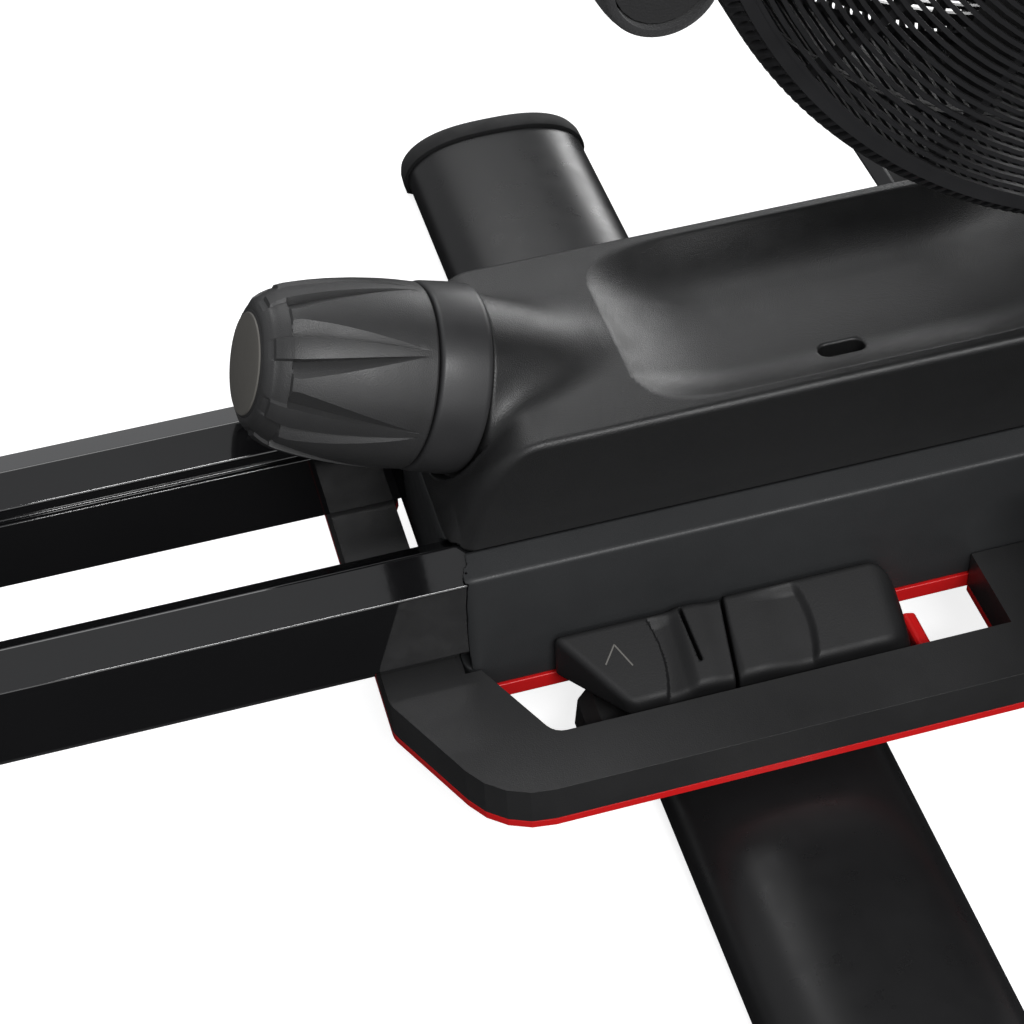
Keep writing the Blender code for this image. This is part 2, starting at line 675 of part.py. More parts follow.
# ---------------------------------------------------------------- fan, drum and brake
def fan_set():
    """The paddle wheel, iron flywheel and strap drum that share one fixed axle."""
    turned(
        "fan_axle", [(0.0, -84.0), (8.0, -84.0), (8.0, 84.0), (0.0, 84.0)], along_y(FAN_X, 0.0, FAN_Z),
        "steel", 20,
    )
    paddles = 12
    star = []
    for i in range(paddles):
        turn = 2 * pi * i / paddles
        for reach, off in ((198.0, -2.0), (198.0, 2.0), (62.0, 3.0)):
            lean = turn + asin(off / reach)
            star.append((reach * cos(lean), reach * sin(lean)))
        valley = turn + pi / paddles
        star.append((56.0 * cos(valley), 56.0 * sin(valley)))
        foot = turn + 2 * pi / paddles - asin(3.0 / 62.0)
        star.append((62.0 * cos(foot), 62.0 * sin(foot)))
    outline = [(FAN_X + a, FAN_Z + b) for a, b in star]
    wheel = prism("fan_wheel", outline, "Y", -44.0, -15.0, "smooth_plastic")
    cut(wheel, prism("tool_fan_bore", circle(FAN_X, FAN_Z, 8.0 + GAP), "Y", -60.0, 0.0, "steel"))
    disc = [
        (8.4, 14.0), (30.0, 14.0), (30.0, 18.0), (84.0, 18.0), (84.0, 15.0), (110.0, 15.0),
        (110.0, 29.0), (84.0, 29.0), (84.0, 26.0), (30.0, 26.0), (30.0, 32.0), (8.4, 32.0),
    ]
    flywheel = turned("flywheel", disc, along_y(FAN_X, 0.0, FAN_Z), "cast_iron", 28, ring=True)
    spool = [
        (8.4, -13.0), (52.0, -13.0), (52.0, -11.6), (40.0, -11.6), (40.0, 11.6), (52.0, 11.6), (52.0, 13.0),
        (8.4, 13.0),
    ]
    drum = turned("strap_drum", spool, along_y(FAN_X, 0.0, FAN_Z), "smooth_plastic", 20, ring=True)
    pivot("fan_axis", (FAN_X, 0.0, FAN_Z), [wheel, flywheel])
    pivot("drum_axis", (FAN_X, 0.0, FAN_Z), [drum])
    fork = [
        (10.0, 316.0), (38.0, 316.0), (38.0, 356.0), (33.0, 356.0), (33.0, 322.0), (14.0, 322.0), (14.0, 356.0),
        (10.0, 356.0),
    ]
    yoke = prism("brake_yoke", fork, "X", FAN_X - 45.0, FAN_X + 14.0, "cast_iron")
    pivot("brake_axis", (FAN_X + 12.0, 24.0, 319.0), [yoke])


def cage_half(side, sign):
    """Half of the fan's cage: a round face and the rim that meets the other half."""
    face = CAGE_HALF
    profile = [
        (9.0, face - 4.0), (9.0, face), (CAGE_RADIUS - 6.0, face), (CAGE_RADIUS, face - 6.0),
        (CAGE_RADIUS, GAP / 2),
        (CAGE_RADIUS - WALL, GAP / 2), (CAGE_RADIUS - WALL, face - 7.0), (CAGE_RADIUS - 7.0, face - 4.0),
    ]
    place = Matrix.Translation((FAN_X, 0.0, FAN_Z)) @ Matrix.Rotation(-sign * pi / 2, 4, "X")
    half = turned(f"fan_cage_{side}", profile, place, "smooth_plastic", 40, ring=True)
    for part, low, high in (("low", 200.0, 240.0), ("high", 655.0, 690.0)):
        notch = box(
            f"tool_notch_{part}_{side}", (FORK_REAR_X - 1.5, -FORK_HALF - 1.5, low),
            (FORK_FRONT_X + 1.5, FORK_HALF + 1.5, high), "steel",
        )
        cut(half, notch)
    mouth = box(
        f"tool_strap_mouth_{side}", (370.0, -15.0, STRAP_Z - 12.0), (420.0, 15.0, STRAP_Z + 14.0), "steel",
    )
    cut(half, mouth)


# ---------------------------------------------------------------- handle and strap
GRIP_RADIUS = 15.0
HANDLE_HALF = 250.0


def handle():
    """The pull bar, its two foam grips and the strap that winds onto the drum."""
    centre = Matrix.Translation((HANDLE_X, 0.0, STRAP_Z))
    bar_profile = [(0.0, -HANDLE_HALF), (11.0, -HANDLE_HALF), (11.0, HANDLE_HALF), (0.0, HANDLE_HALF)]
    bar = turned("handle_bar", bar_profile, along_y(HANDLE_X, 0.0, STRAP_Z), "satin_black_paint", 20)
    lug = rounded([
        (HANDLE_X, STRAP_Z - 10.0, 0), (HANDLE_X + 26.0, STRAP_Z - 6.0, 4.0),
        (HANDLE_X + 26.0, STRAP_Z + 6.0, 4.0), (HANDLE_X, STRAP_Z + 10.0, 0),
    ], 3)
    join(bar, prism("tool_handle_lug", lug, "Y", -14.0, 14.0, "satin_black_paint"))
    pieces = [bar]
    for side, sign in SIDES:
        grip_profile = [
            (11.0 + GAP, 92.0), (13.5, 92.0), (GRIP_RADIUS, 98.0), (GRIP_RADIUS + 1.5, 160.0),
            (GRIP_RADIUS, 228.0), (13.5, HANDLE_HALF + 2.0), (11.0 + GAP, HANDLE_HALF + 2.0),
        ]
        place = centre @ Matrix.Rotation(-sign * pi / 2, 4, "X")
        pieces.append(turned(f"handle_grip_{side}", grip_profile, place, "foam", 14, ring=True))
    strap_start = HANDLE_X + 26.0 + GAP
    strap = prism(
        "pull_strap", rectangle(strap_start, STRAP_Z - 1.0, FAN_X - 4.0, STRAP_Z + 1.0), "Y", -11.0, 11.0,
        "webbing"
    )
    pivot("handle_axis", (HANDLE_X, 0.0, STRAP_Z), pieces + [strap])


CRADLE_ARM_Y = 74.0
ROLLER_X = 373.5
ROLLER_RADIUS = 8.0
ROLLER_Z = STRAP_Z - 1.0 - GAP - ROLLER_RADIUS


def handle_cradle():
    """The bracket on the axle's ends that holds the handle and the strap's guide roller."""
    arm = rounded([
        (FAN_X - 16.0, FAN_Z - 14.0, 8.0), (FAN_X + 16.0, FAN_Z - 14.0, 12.0),
        (FAN_X + 16.0, FAN_Z + 14.0, 12.0),
        (380.0, STRAP_Z - 2.0, 6.0), (360.0, STRAP_Z - 2.0, 0), (360.0, STRAP_Z - 34.0, 0),
        (384.0, STRAP_Z - 34.0, 6.0),
    ], 3)
    near, far = CRADLE_ARM_Y - 2.5, CRADLE_ARM_Y + 2.5
    cradle = prism("handle_cradle", arm, "Y", -near, -far, "satin_black_paint")
    join(cradle, prism("tool_cradle_arm", arm, "Y", near, far, "satin_black_paint"))
    beam = box(
        "tool_cradle_beam", (356.0, -76.5, STRAP_Z - 34.0), (364.0, 76.5, STRAP_Z - 14.0),
        "satin_black_paint",
    )
    join(cradle, beam)
    hook = rounded([
        (362.0, STRAP_Z - 34.0, 0), (362.0, STRAP_Z - 16.0, 0), (340.0, STRAP_Z - 16.0, 4.0),
        (HANDLE_X + 13.0, STRAP_Z - 13.0, 3.0),
        (HANDLE_X, STRAP_Z - 12.0, 8.0), (HANDLE_X - 13.0, STRAP_Z - 10.0, 0),
        (HANDLE_X - 14.0, STRAP_Z + 4.0, 2.0),
        (HANDLE_X - 19.0, STRAP_Z + 4.0, 2.0), (HANDLE_X - 19.0, STRAP_Z - 20.0, 8.0),
        (346.0, STRAP_Z - 34.0, 6.0),
    ], 3)
    for side, sign in SIDES:
        join(cradle, prism(f"tool_hook_{side}", hook, "Y", sign * 52.0, sign * 66.0, "satin_black_paint"))
    cheek = rounded([
        (362.0, STRAP_Z - 34.0, 0), (382.0, STRAP_Z - 30.0, 5.0), (382.0, STRAP_Z - 4.0, 5.0),
        (362.0, STRAP_Z - 4.0, 4.0),
    ], 3)
    for side, sign in SIDES:
        join(cradle, prism(f"tool_cheek_{side}", cheek, "Y", sign * 16.0, sign * 20.0, "satin_black_paint"))
    cut(cradle, prism("tool_cradle_bore", circle(FAN_X, FAN_Z, 8.0 + GAP), "Y", -90.0, 90.0, "steel"))
    cut(
        cradle,
        prism("tool_roller_bore", circle(ROLLER_X, ROLLER_Z, 3.0 + GAP, 16), "Y", -24.0, 24.0, "steel"),
    )
    profile = [
        (0.0, -20.0), (3.0, -20.0), (3.0, -15.0), (ROLLER_RADIUS, -15.0), (ROLLER_RADIUS, 15.0),
        (3.0, 15.0),
        (3.0, 20.0), (0.0, 20.0),
    ]
    roller = turned("strap_roller", profile, along_y(ROLLER_X, 0.0, ROLLER_Z), "grey_plastic", 20)
    pivot("roller_axis", (ROLLER_X, 0.0, ROLLER_Z), [roller])


# ---------------------------------------------------------------- console
CONSOLE_TILT = radians(28.0)


def console_place():
    """A matrix for the console: its local Z axis is the screen's outward direction."""
    out = Vector((-cos(CONSOLE_TILT), 0.0, sin(CONSOLE_TILT)))
    up = Vector((sin(CONSOLE_TILT), 0.0, cos(CONSOLE_TILT)))
    across = up.cross(out)
    turn = Matrix((across, up, out)).transposed().to_4x4()
    return Matrix.Translation((CONSOLE_X, 0.0, CONSOLE_Z)) @ turn


def console_slab(name, low, high, outline_radius, look):
    """A slab on the console, from corners in the console's own axes."""
    outline = rectangle(low[0], low[1], high[0], high[1], outline_radius)
    place = console_place()
    rings = [[place @ Vector((a, b, depth)) for a, b in outline] for depth in (low[2], high[2])]
    return loft(name, rings, look, 40)


def console():
    post = box(
        "console_bracket", (588.0, -18.0, FORK_TOP_Z + GAP), (628.0, 18.0, FORK_TOP_Z + 10.0),
        "smooth_plastic", 4.0,
    )
    ear = rounded([
        (592.0, FORK_TOP_Z + 5.0, 0), (616.0, FORK_TOP_Z + 5.0, 0), (612.0, CONSOLE_Z + 7.0, 6.0),
        (594.0, CONSOLE_Z + 7.0, 6.0),
    ], 3)
    join(post, prism("tool_ear", ear, "Y", -9.0, 9.0, "smooth_plastic"))
    cut(
        post,
        prism("tool_tilt_bore", circle(CONSOLE_X + 2.0, CONSOLE_Z, 4.0 + GAP, 16), "Y", -30.0, 30.0, "steel"),
    )
    case = console_slab("console_case", (-92.0, -28.0, 12.0), (92.0, 92.0, 36.0), 14.0, "smooth_plastic")
    for side, sign in SIDES:
        knuckle = rectangle(CONSOLE_X - 24.0, CONSOLE_Z - 9.0, CONSOLE_X + 11.0, CONSOLE_Z + 9.0, 5.0)
        join(case, prism(f"tool_knuckle_{side}", knuckle, "Y", sign * 10.0, sign * 17.5, "smooth_plastic"))
    join(
        case, prism("tool_tilt_pin", circle(CONSOLE_X + 2.0, CONSOLE_Z, 4.0, 16), "Y", -12.0, 12.0, "steel"),
    )
    cut(case, console_slab("tool_screen_recess", (-72.0, 2.0, 33.0), (72.0, 82.0, 40.0), 5.0, "steel"))
    screen = console_slab(
        "console_screen", (-71.5, 2.5, 33.0 + GAP), (71.5, 81.5, 35.6), 5.0, "screen_glass",
    )
    pieces = [case, screen]
    for name, centre in (("left", -34.0), ("right", 34.0)):
        pocket = (centre - 15.0, -20.0, 31.0), (centre + 15.0, -8.0, 40.0)
        cut(case, console_slab(f"tool_button_{name}", *pocket, 4.0, "steel"))
        button = console_slab(
            f"console_button_{name}", (centre - 14.5, -19.5, 33.0), (centre + 14.5, -8.5, 37.6), 4.0,
            "grey_plastic",
        )
        pivot(f"button_axis_{name}", console_place() @ Vector((centre, -14.0, 35.0)), [button])
    pivot("console_axis", (CONSOLE_X + 2.0, 0.0, CONSOLE_Z), pieces)


# ---------------------------------------------------------------- footplates
PLATE_ANGLE = radians(52.0)
PLATE_HEEL = (576.0, 96.0)
PLATE_LENGTH = 235.0
PLATE_Y = (84.0, 192.0)


def plate_point(along, above):
    """A point in the XZ plane from its distance up the footplate and above its surface."""
    x = PLATE_HEEL[0] + along * cos(PLATE_ANGLE) - above * sin(PLATE_ANGLE)
    z = PLATE_HEEL[1] + along * sin(PLATE_ANGLE) + above * cos(PLATE_ANGLE)
    return x, z


def footplate(side, sign):
    """A sloping tread on a stand, its sliding heel cup and the strap over the toes."""
    tread = [plate_point(*p) for p in ((0.0, -8.0), (PLATE_LENGTH, -8.0), (PLATE_LENGTH, 0.0), (0.0, 0.0))]
    plate = prism(f"footplate_{side}", tread, "Y", sign * PLATE_Y[0], sign * PLATE_Y[1], "smooth_plastic")
    web = [
        (585.0, LOOP_TOP_Z + GAP), (690.0, LOOP_TOP_Z + GAP), (690.0, 90.0), plate_point(175.0, -7.0),
        plate_point(8.0, -7.0),
    ]
    join(plate, prism(f"tool_web_{side}", web, "Y", sign * 114.0, sign * 132.0, "smooth_plastic"))
    low = sign * (PLATE_Y[0] + 12.0)
    high = sign * (PLATE_Y[1] - 12.0)
    bracket = ((6.0, GAP), (86.0, GAP), (86.0, 5.0), (14.0, 5.0), (12.0, 48.0), (4.0, 48.0))
    heel = [plate_point(*p) for p in bracket]
    cup = prism(f"heel_cup_{side}", heel, "Y", low, high, "smooth_plastic")
    pivot(
        f"heel_axis_{side}", (*plate_point(40.0, 0.0)[:1], sign * 138.0, plate_point(40.0, 0.0)[1]), [cup],
    )
    middle = sign * (PLATE_Y[0] + PLATE_Y[1]) / 2
    rings = []
    reach = abs(high - low) / 2 + 11.0
    for i in range(17):
        turn = pi * i / 16
        row = []
        for radius, along in ((1.0, 150.0), (1.0, 188.0), (0.97, 188.0), (0.97, 150.0)):
            across = reach * radius * cos(turn)
            above = GAP + 62.0 * radius * sin(turn) ** 0.8
            x, z = plate_point(along, above)
            row.append((x, middle + across, z))
        rings.append(row)
    loft(f"foot_strap_{side}", rings, "webbing")


# ---------------------------------------------------------------- sliding seat
ROLLER_AXLE_Z = RIDGE_Z + ROLLER_GROOVE_RADIUS + GAP
PAD_LEVELS = (                # height above the carriage, half length, half width
    (0.0, 122.0, 92.0), (6.0, 140.0, 108.0), (24.0, 150.0, 118.0), (40.0, 144.0, 112.0),
    (50.0, 118.0, 88.0),
)
SEAT_ROLLERS = (("front", SEAT_X + 70.0), ("rear", SEAT_X - 70.0))


def seat():
    """The carriage that straddles the rails, its four grooved rollers and the pad."""
    half = [
        (0.0, 162.0), (64.5, 162.0), (64.5, 124.0), (61.0, 124.0), (61.0, 157.0), (35.2, 157.0),
        (35.2, 105.2), (37.6, 105.2), (37.6, 103.4), (35.2, 103.4), (35.2, 100.0), (32.0, 100.0),
        (32.0, 157.0), (0.0, 157.0),
    ]
    carriage = prism(
        "seat_carriage", mirrored(half), "X", SEAT_X - 95.0, SEAT_X + 95.0, "satin_black_paint",
    )
    parts = [carriage]
    for place_name, x in SEAT_ROLLERS:
        bore = prism(
            f"tool_roller_{place_name}", circle(x, ROLLER_AXLE_Z, 4.0 + GAP, 16), "Y", -80.0, 80.0, "steel",
        )
        cut(carriage, bore)
    for side, sign in SIDES:
        for place_name, x in SEAT_ROLLERS:
            profile = [
                (0.0, 32.4), (4.0, 32.4), (4.0, 40.0), (18.2, 40.0), (19.3, 41.0),
                (ROLLER_GROOVE_RADIUS, RIDGE_Y),
                (17.0, 57.5), (16.0, 58.5), (4.0, 58.5), (4.0, 64.0), (0.0, 64.0),
            ]
            place = Matrix.Translation((x, 0.0, ROLLER_AXLE_Z)) @ Matrix.Rotation(-sign * pi / 2, 4, "X")
            wheel = turned(f"seat_roller_{place_name}_{side}", profile, place, "grey_plastic", 14)
            pivot(f"seat_roller_axis_{place_name}_{side}", (x, sign * RIDGE_Y, ROLLER_AXLE_Z), [wheel])
    rings = []
    for height, long, wide in PAD_LEVELS:
        ring = []
        for i in range(28):
            turn = 2 * pi * i / 28
            a = abs(cos(turn)) ** 0.6 * (1 if cos(turn) >= 0 else -1)
            b = abs(sin(turn)) ** 0.6 * (1 if sin(turn) >= 0 else -1)
            ring.append((SEAT_X + long * a, wide * b, 162.0 + GAP + height))
        rings.append(ring)
    parts.append(loft("seat_pad", rings, "foam", 50))
    pivot("seat_axis", (SEAT_X, 0.0, RIDGE_Z), parts)


# ---------------------------------------------------------------- assembly
def build():
    for old in list(bpy.data.objects):
        bpy.data.objects.remove(old, do_unlink=True)
    for side, sign in SIDES:
        rail(side, sign)
        foot_lock(side, sign)
        cage_half(side, sign)
        footplate(side, sign)
    rear_foot()
    middle_foot()
    front_foot()
    side_frame()
    main_spine()
    fan_fork()
    lower_body()
    body_trim()
    upper_cover()
    knob()
    fan_set()
    handle()
    handle_cradle()
    console()
    seat()


build()
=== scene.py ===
from math import atan2, cos, pi, radians, sin

import bmesh
import bpy
import numpy as np
from mathutils import Matrix, Vector


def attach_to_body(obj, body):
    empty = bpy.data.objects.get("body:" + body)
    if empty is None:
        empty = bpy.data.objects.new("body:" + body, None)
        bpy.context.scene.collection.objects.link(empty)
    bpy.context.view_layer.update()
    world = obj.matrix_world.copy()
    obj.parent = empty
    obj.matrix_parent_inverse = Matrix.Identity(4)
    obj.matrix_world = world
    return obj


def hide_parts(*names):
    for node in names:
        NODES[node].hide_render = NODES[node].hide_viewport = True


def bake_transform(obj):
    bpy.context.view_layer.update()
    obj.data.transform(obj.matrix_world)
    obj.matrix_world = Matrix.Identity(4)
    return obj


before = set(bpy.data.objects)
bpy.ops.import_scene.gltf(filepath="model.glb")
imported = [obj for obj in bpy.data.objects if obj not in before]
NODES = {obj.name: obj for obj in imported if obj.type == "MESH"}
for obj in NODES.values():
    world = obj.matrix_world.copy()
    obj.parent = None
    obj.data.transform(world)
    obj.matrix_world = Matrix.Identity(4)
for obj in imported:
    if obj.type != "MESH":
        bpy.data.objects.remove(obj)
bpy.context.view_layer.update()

MM = 0.001                    # metres in a millimetre; every size below is in millimetres
SIDES = (("right", -1), ("left", 1))

# ---------------------------------------------------------------- driving sizes, millimetres
BODY_REAR_X = 300.0
BODY_FRONT_X = 870.0
BODY_HALF = 68.5
TRIM_LOW_Z = 46.6
TRIM_TOP_Z = 54.0
SEAM_Z = 119.6
COVER_TOP_Z = 170.0
KNOB_TILT = radians(20.4)
KNOB_COLLAR = (311.0, 0.0, 164.9)
FAN_X = 608.5
FAN_Z = 446.0
CAGE_RADIUS = 225.0
CAGE_HALF = 70.0
SEAT_X = -350.0
STRAP_Z = FAN_Z + 42.0
HANDLE_X = 322.0


# ---------------------------------------------------------------- camera, floor and light
CAMERA_PLACE = (0.1874, -0.6592, 0.7551)                  # metres
CAMERA_AZIMUTH = radians(12.92)
CAMERA_DROP = radians(44.89)
CAMERA_ROLL = radians(-3.55)
CAMERA_LENS = 79.66
ROOM_COLOUR = (0.97, 0.98, 1.0, 1.0)
ROOM_STRENGTH = 0.50
FLOOR_REACH = 9.0                                         # metres
FLOOR_SEEN = (0.62, 0.62, 0.62, 1.0)
FLOOR_SEEN_LIFT = 0.8
FLOOR_REFLECTED = (0.035, 0.035, 0.036, 1.0)
SOFT_LIGHTS = (
    # name, place, target and size in metres, radiance
    ("key", (0.3, 1.7, 2.2), (0.4, 0.0, 0.15), (1.5, 1.5), 2.4),
    ("side", (2.4, -0.1, 2.4), (0.4, 0.0, 0.15), (0.9, 0.9), 3.5),
    ("back", (2.3, 2.2, 0.72), (0.35, 0.0, 0.15), (1.4, 0.75), 7.2),
    ("edge", (0.8, -1.8, 2.1), (0.35, 0.0, 0.15), (1.6, 0.22), 42.0),
    ("front", (0.6, -2.6, 0.85), (0.35, 0.0, 0.1), (2.4, 1.4), 1.3),
)


def camera():
    """A long lens looking down at the middle of the machine from the rower's right."""
    level = Vector((cos(CAMERA_AZIMUTH), -sin(CAMERA_AZIMUTH), 0.0))
    ahead = Vector((sin(CAMERA_AZIMUTH), cos(CAMERA_AZIMUTH), 0.0))
    forward = ahead * cos(CAMERA_DROP) - Vector((0.0, 0.0, sin(CAMERA_DROP)))
    upright = level.cross(forward)
    right = level * cos(CAMERA_ROLL) + upright * sin(CAMERA_ROLL)
    up = upright * cos(CAMERA_ROLL) - level * sin(CAMERA_ROLL)
    data = bpy.data.cameras.new("camera")
    data.lens = CAMERA_LENS
    data.sensor_width = 36.0
    data.clip_start = 0.02
    made = bpy.data.objects.new("camera", data)
    turn = Matrix((right, up, -forward)).transposed().to_4x4()
    made.matrix_world = Matrix.Translation(CAMERA_PLACE) @ turn
    bpy.context.scene.collection.objects.link(made)
    bpy.context.scene.camera = made


def soft_light(name, place, target, size, radiance):
    """A square soft box, its power set from the radiance it shows."""
    data = bpy.data.lights.new(name, "AREA")
    data.shape = "RECTANGLE"
    data.size, data.size_y = size
    data.energy = radiance * pi * size[0] * size[1]
    made = bpy.data.objects.new(name, data)
    aim = Vector(target) - Vector(place)
    made.matrix_world = Matrix.Translation(place) @ aim.to_track_quat("-Z", "Y").to_matrix().to_4x4()
    bpy.context.scene.collection.objects.link(made)


def floor_paint():
    """Pale where the camera sees it and dark in reflections, so that the machine's gloss stays black."""
    paint = bpy.data.materials.new("floor_paint")
    paint.use_nodes = True
    tree = paint.node_tree
    tree.nodes.clear()
    output = tree.nodes.new("ShaderNodeOutputMaterial")
    pale = tree.nodes.new("ShaderNodeBsdfDiffuse")
    pale.inputs["Color"].default_value = FLOOR_SEEN
    dark = tree.nodes.new("ShaderNodeBsdfDiffuse")
    dark.inputs["Color"].default_value = FLOOR_REFLECTED
    lift = tree.nodes.new("ShaderNodeEmission")
    lift.inputs["Strength"].default_value = FLOOR_SEEN_LIFT
    pale_lifted = tree.nodes.new("ShaderNodeAddShader")
    choose = tree.nodes.new("ShaderNodeMixShader")
    path = tree.nodes.new("ShaderNodeLightPath")
    tree.links.new(pale.outputs[0], pale_lifted.inputs[0])
    tree.links.new(lift.outputs[0], pale_lifted.inputs[1])
    tree.links.new(path.outputs["Is Camera Ray"], choose.inputs[0])
    tree.links.new(dark.outputs[0], choose.inputs[1])
    tree.links.new(pale_lifted.outputs[0], choose.inputs[2])
    tree.links.new(choose.outputs[0], output.inputs["Surface"])
    return paint


def studio():
    """An evenly lit room with soft boxes, and a pale floor that is no part of the machine."""
    scene = bpy.context.scene
    scene.view_settings.view_transform = "Standard"
    world = bpy.data.worlds.new("studio")
    world.use_nodes = True
    scene.world = world
    background = world.node_tree.nodes["Background"]
    background.inputs["Color"].default_value = ROOM_COLOUR
    background.inputs["Strength"].default_value = ROOM_STRENGTH
    for light in SOFT_LIGHTS:
        soft_light(*light)
    corners = [(a * FLOOR_REACH, b * FLOOR_REACH, 0.0) for a, b in ((-1, -1), (1, -1), (1, 1), (-1, 1))]
    data = bpy.data.meshes.new("floor")
    data.from_pydata(corners, [], [(0, 1, 2, 3)])
    data.materials.append(floor_paint())
    floor = bpy.data.objects.new("floor", data)
    scene.collection.objects.link(floor)


# ---------------------------------------------------------------- materials
WAVE_PITCH = 0.314            # a wave texture of scale 1 repeats every 0.314 metres


def mixed(tree, low, high, factor):
    """A colour between two, chosen by a factor socket."""
    mix = tree.nodes.new("ShaderNodeMix")
    mix.data_type = "RGBA"
    mix.inputs["A"].default_value = (*low, 1.0)
    mix.inputs["B"].default_value = (*high, 1.0)
    tree.links.new(factor, mix.inputs["Factor"])
    return mix.outputs["Result"]


def noise(tree, place, scale, detail=3.0, stretch=None):
    """A noise socket in the piece's own metres, optionally stretched along its axes."""
    texture = tree.nodes.new("ShaderNodeTexNoise")
    texture.inputs["Scale"].default_value = scale
    texture.inputs["Detail"].default_value = detail
    if stretch:
        mapping = tree.nodes.new("ShaderNodeMapping")
        mapping.inputs["Scale"].default_value = stretch
        tree.links.new(place, mapping.inputs["Vector"])
        place = mapping.outputs[0]
    tree.links.new(place, texture.inputs["Vector"])
    return texture.outputs["Fac"]


def ranged(tree, value, low, high, start=0.3, end=0.7):
    """A value from start to end becomes low to high; noise seldom leaves 0.3 to 0.7."""
    scaled = tree.nodes.new("ShaderNodeMapRange")
    scaled.inputs["From Min"].default_value = start
    scaled.inputs["From Max"].default_value = end
    scaled.inputs["To Min"].default_value = low
    scaled.inputs["To Max"].default_value = high
    tree.links.new(value, scaled.inputs["Value"])
    return scaled.outputs[0]


def bumped(tree, shader, height, depth):
    """The shader's normal follows a height socket, up to a depth in metres."""
    bump = tree.nodes.new("ShaderNodeBump")
    bump.inputs["Strength"].default_value = 1.0
    bump.inputs["Distance"].default_value = depth
    tree.links.new(height, bump.inputs["Height"])
    tree.links.new(bump.outputs[0], shader.inputs["Normal"])


def surface(name, colour, roughness, spread=0.08, grain=None, tint=0.18, stretch=None, extra=()):
    """A Principled material with broad colour drift, uneven roughness and a fine grain.

    grain is (noise scale per metre, depth in metres); extra is ((socket, value), ...).
    """
    made = bpy.data.materials.new(name)
    made.use_nodes = True
    tree = made.node_tree
    shader = tree.nodes["Principled BSDF"]
    place = tree.nodes.new("ShaderNodeTexCoord").outputs["Object"]
    broad = noise(tree, place, 14.0, 5.0)
    low = [part * (1.0 - tint) for part in colour]
    high = [part * (1.0 + tint) for part in colour]
    tree.links.new(mixed(tree, low, high, ranged(tree, broad, 0.0, 1.0)), shader.inputs["Base Color"])
    rough = ranged(tree, noise(tree, place, 90.0, 4.0, stretch), roughness - spread, roughness + spread)
    tree.links.new(rough, shader.inputs["Roughness"])
    if grain:
        scale, depth = grain
        bumped(tree, shader, noise(tree, place, scale, 2.0, stretch), depth)
    for socket, value in extra:
        shader.inputs[socket].default_value = value
    return made


def woven(name, colour, pitch, depth, sheen):
    """Woven cloth: threads along every axis, their pitch and depth in metres."""
    made = bpy.data.materials.new(name)
    made.use_nodes = True
    tree = made.node_tree
    shader = tree.nodes["Principled BSDF"]
    place = tree.nodes.new("ShaderNodeTexCoord").outputs["Object"]
    threads = []
    for axis in ("X", "Y", "Z"):
        wave = tree.nodes.new("ShaderNodeTexWave")
        wave.bands_direction = axis
        wave.inputs["Scale"].default_value = WAVE_PITCH / pitch
        wave.inputs["Distortion"].default_value = 0.4
        wave.inputs["Detail"].default_value = 1.0
        tree.links.new(place, wave.inputs["Vector"])
        threads.append(wave.outputs["Fac"])
    height = threads[0]
    for other in threads[1:]:
        blended = tree.nodes.new("ShaderNodeMath")
        blended.operation = "MAXIMUM"
        tree.links.new(height, blended.inputs[0])
        tree.links.new(other, blended.inputs[1])
        height = blended.outputs[0]
    # The colour is darker where the threads are low: painted shade in the hollows of the weave.
    dark = [part * 0.45 for part in colour]
    tree.links.new(mixed(tree, dark, colour, height), shader.inputs["Base Color"])
    tree.links.new(ranged(tree, noise(tree, place, 200.0), 0.72, 0.92), shader.inputs["Roughness"])
    bumped(tree, shader, height, depth)
    shader.inputs["Sheen Weight"].default_value = sheen
    return made


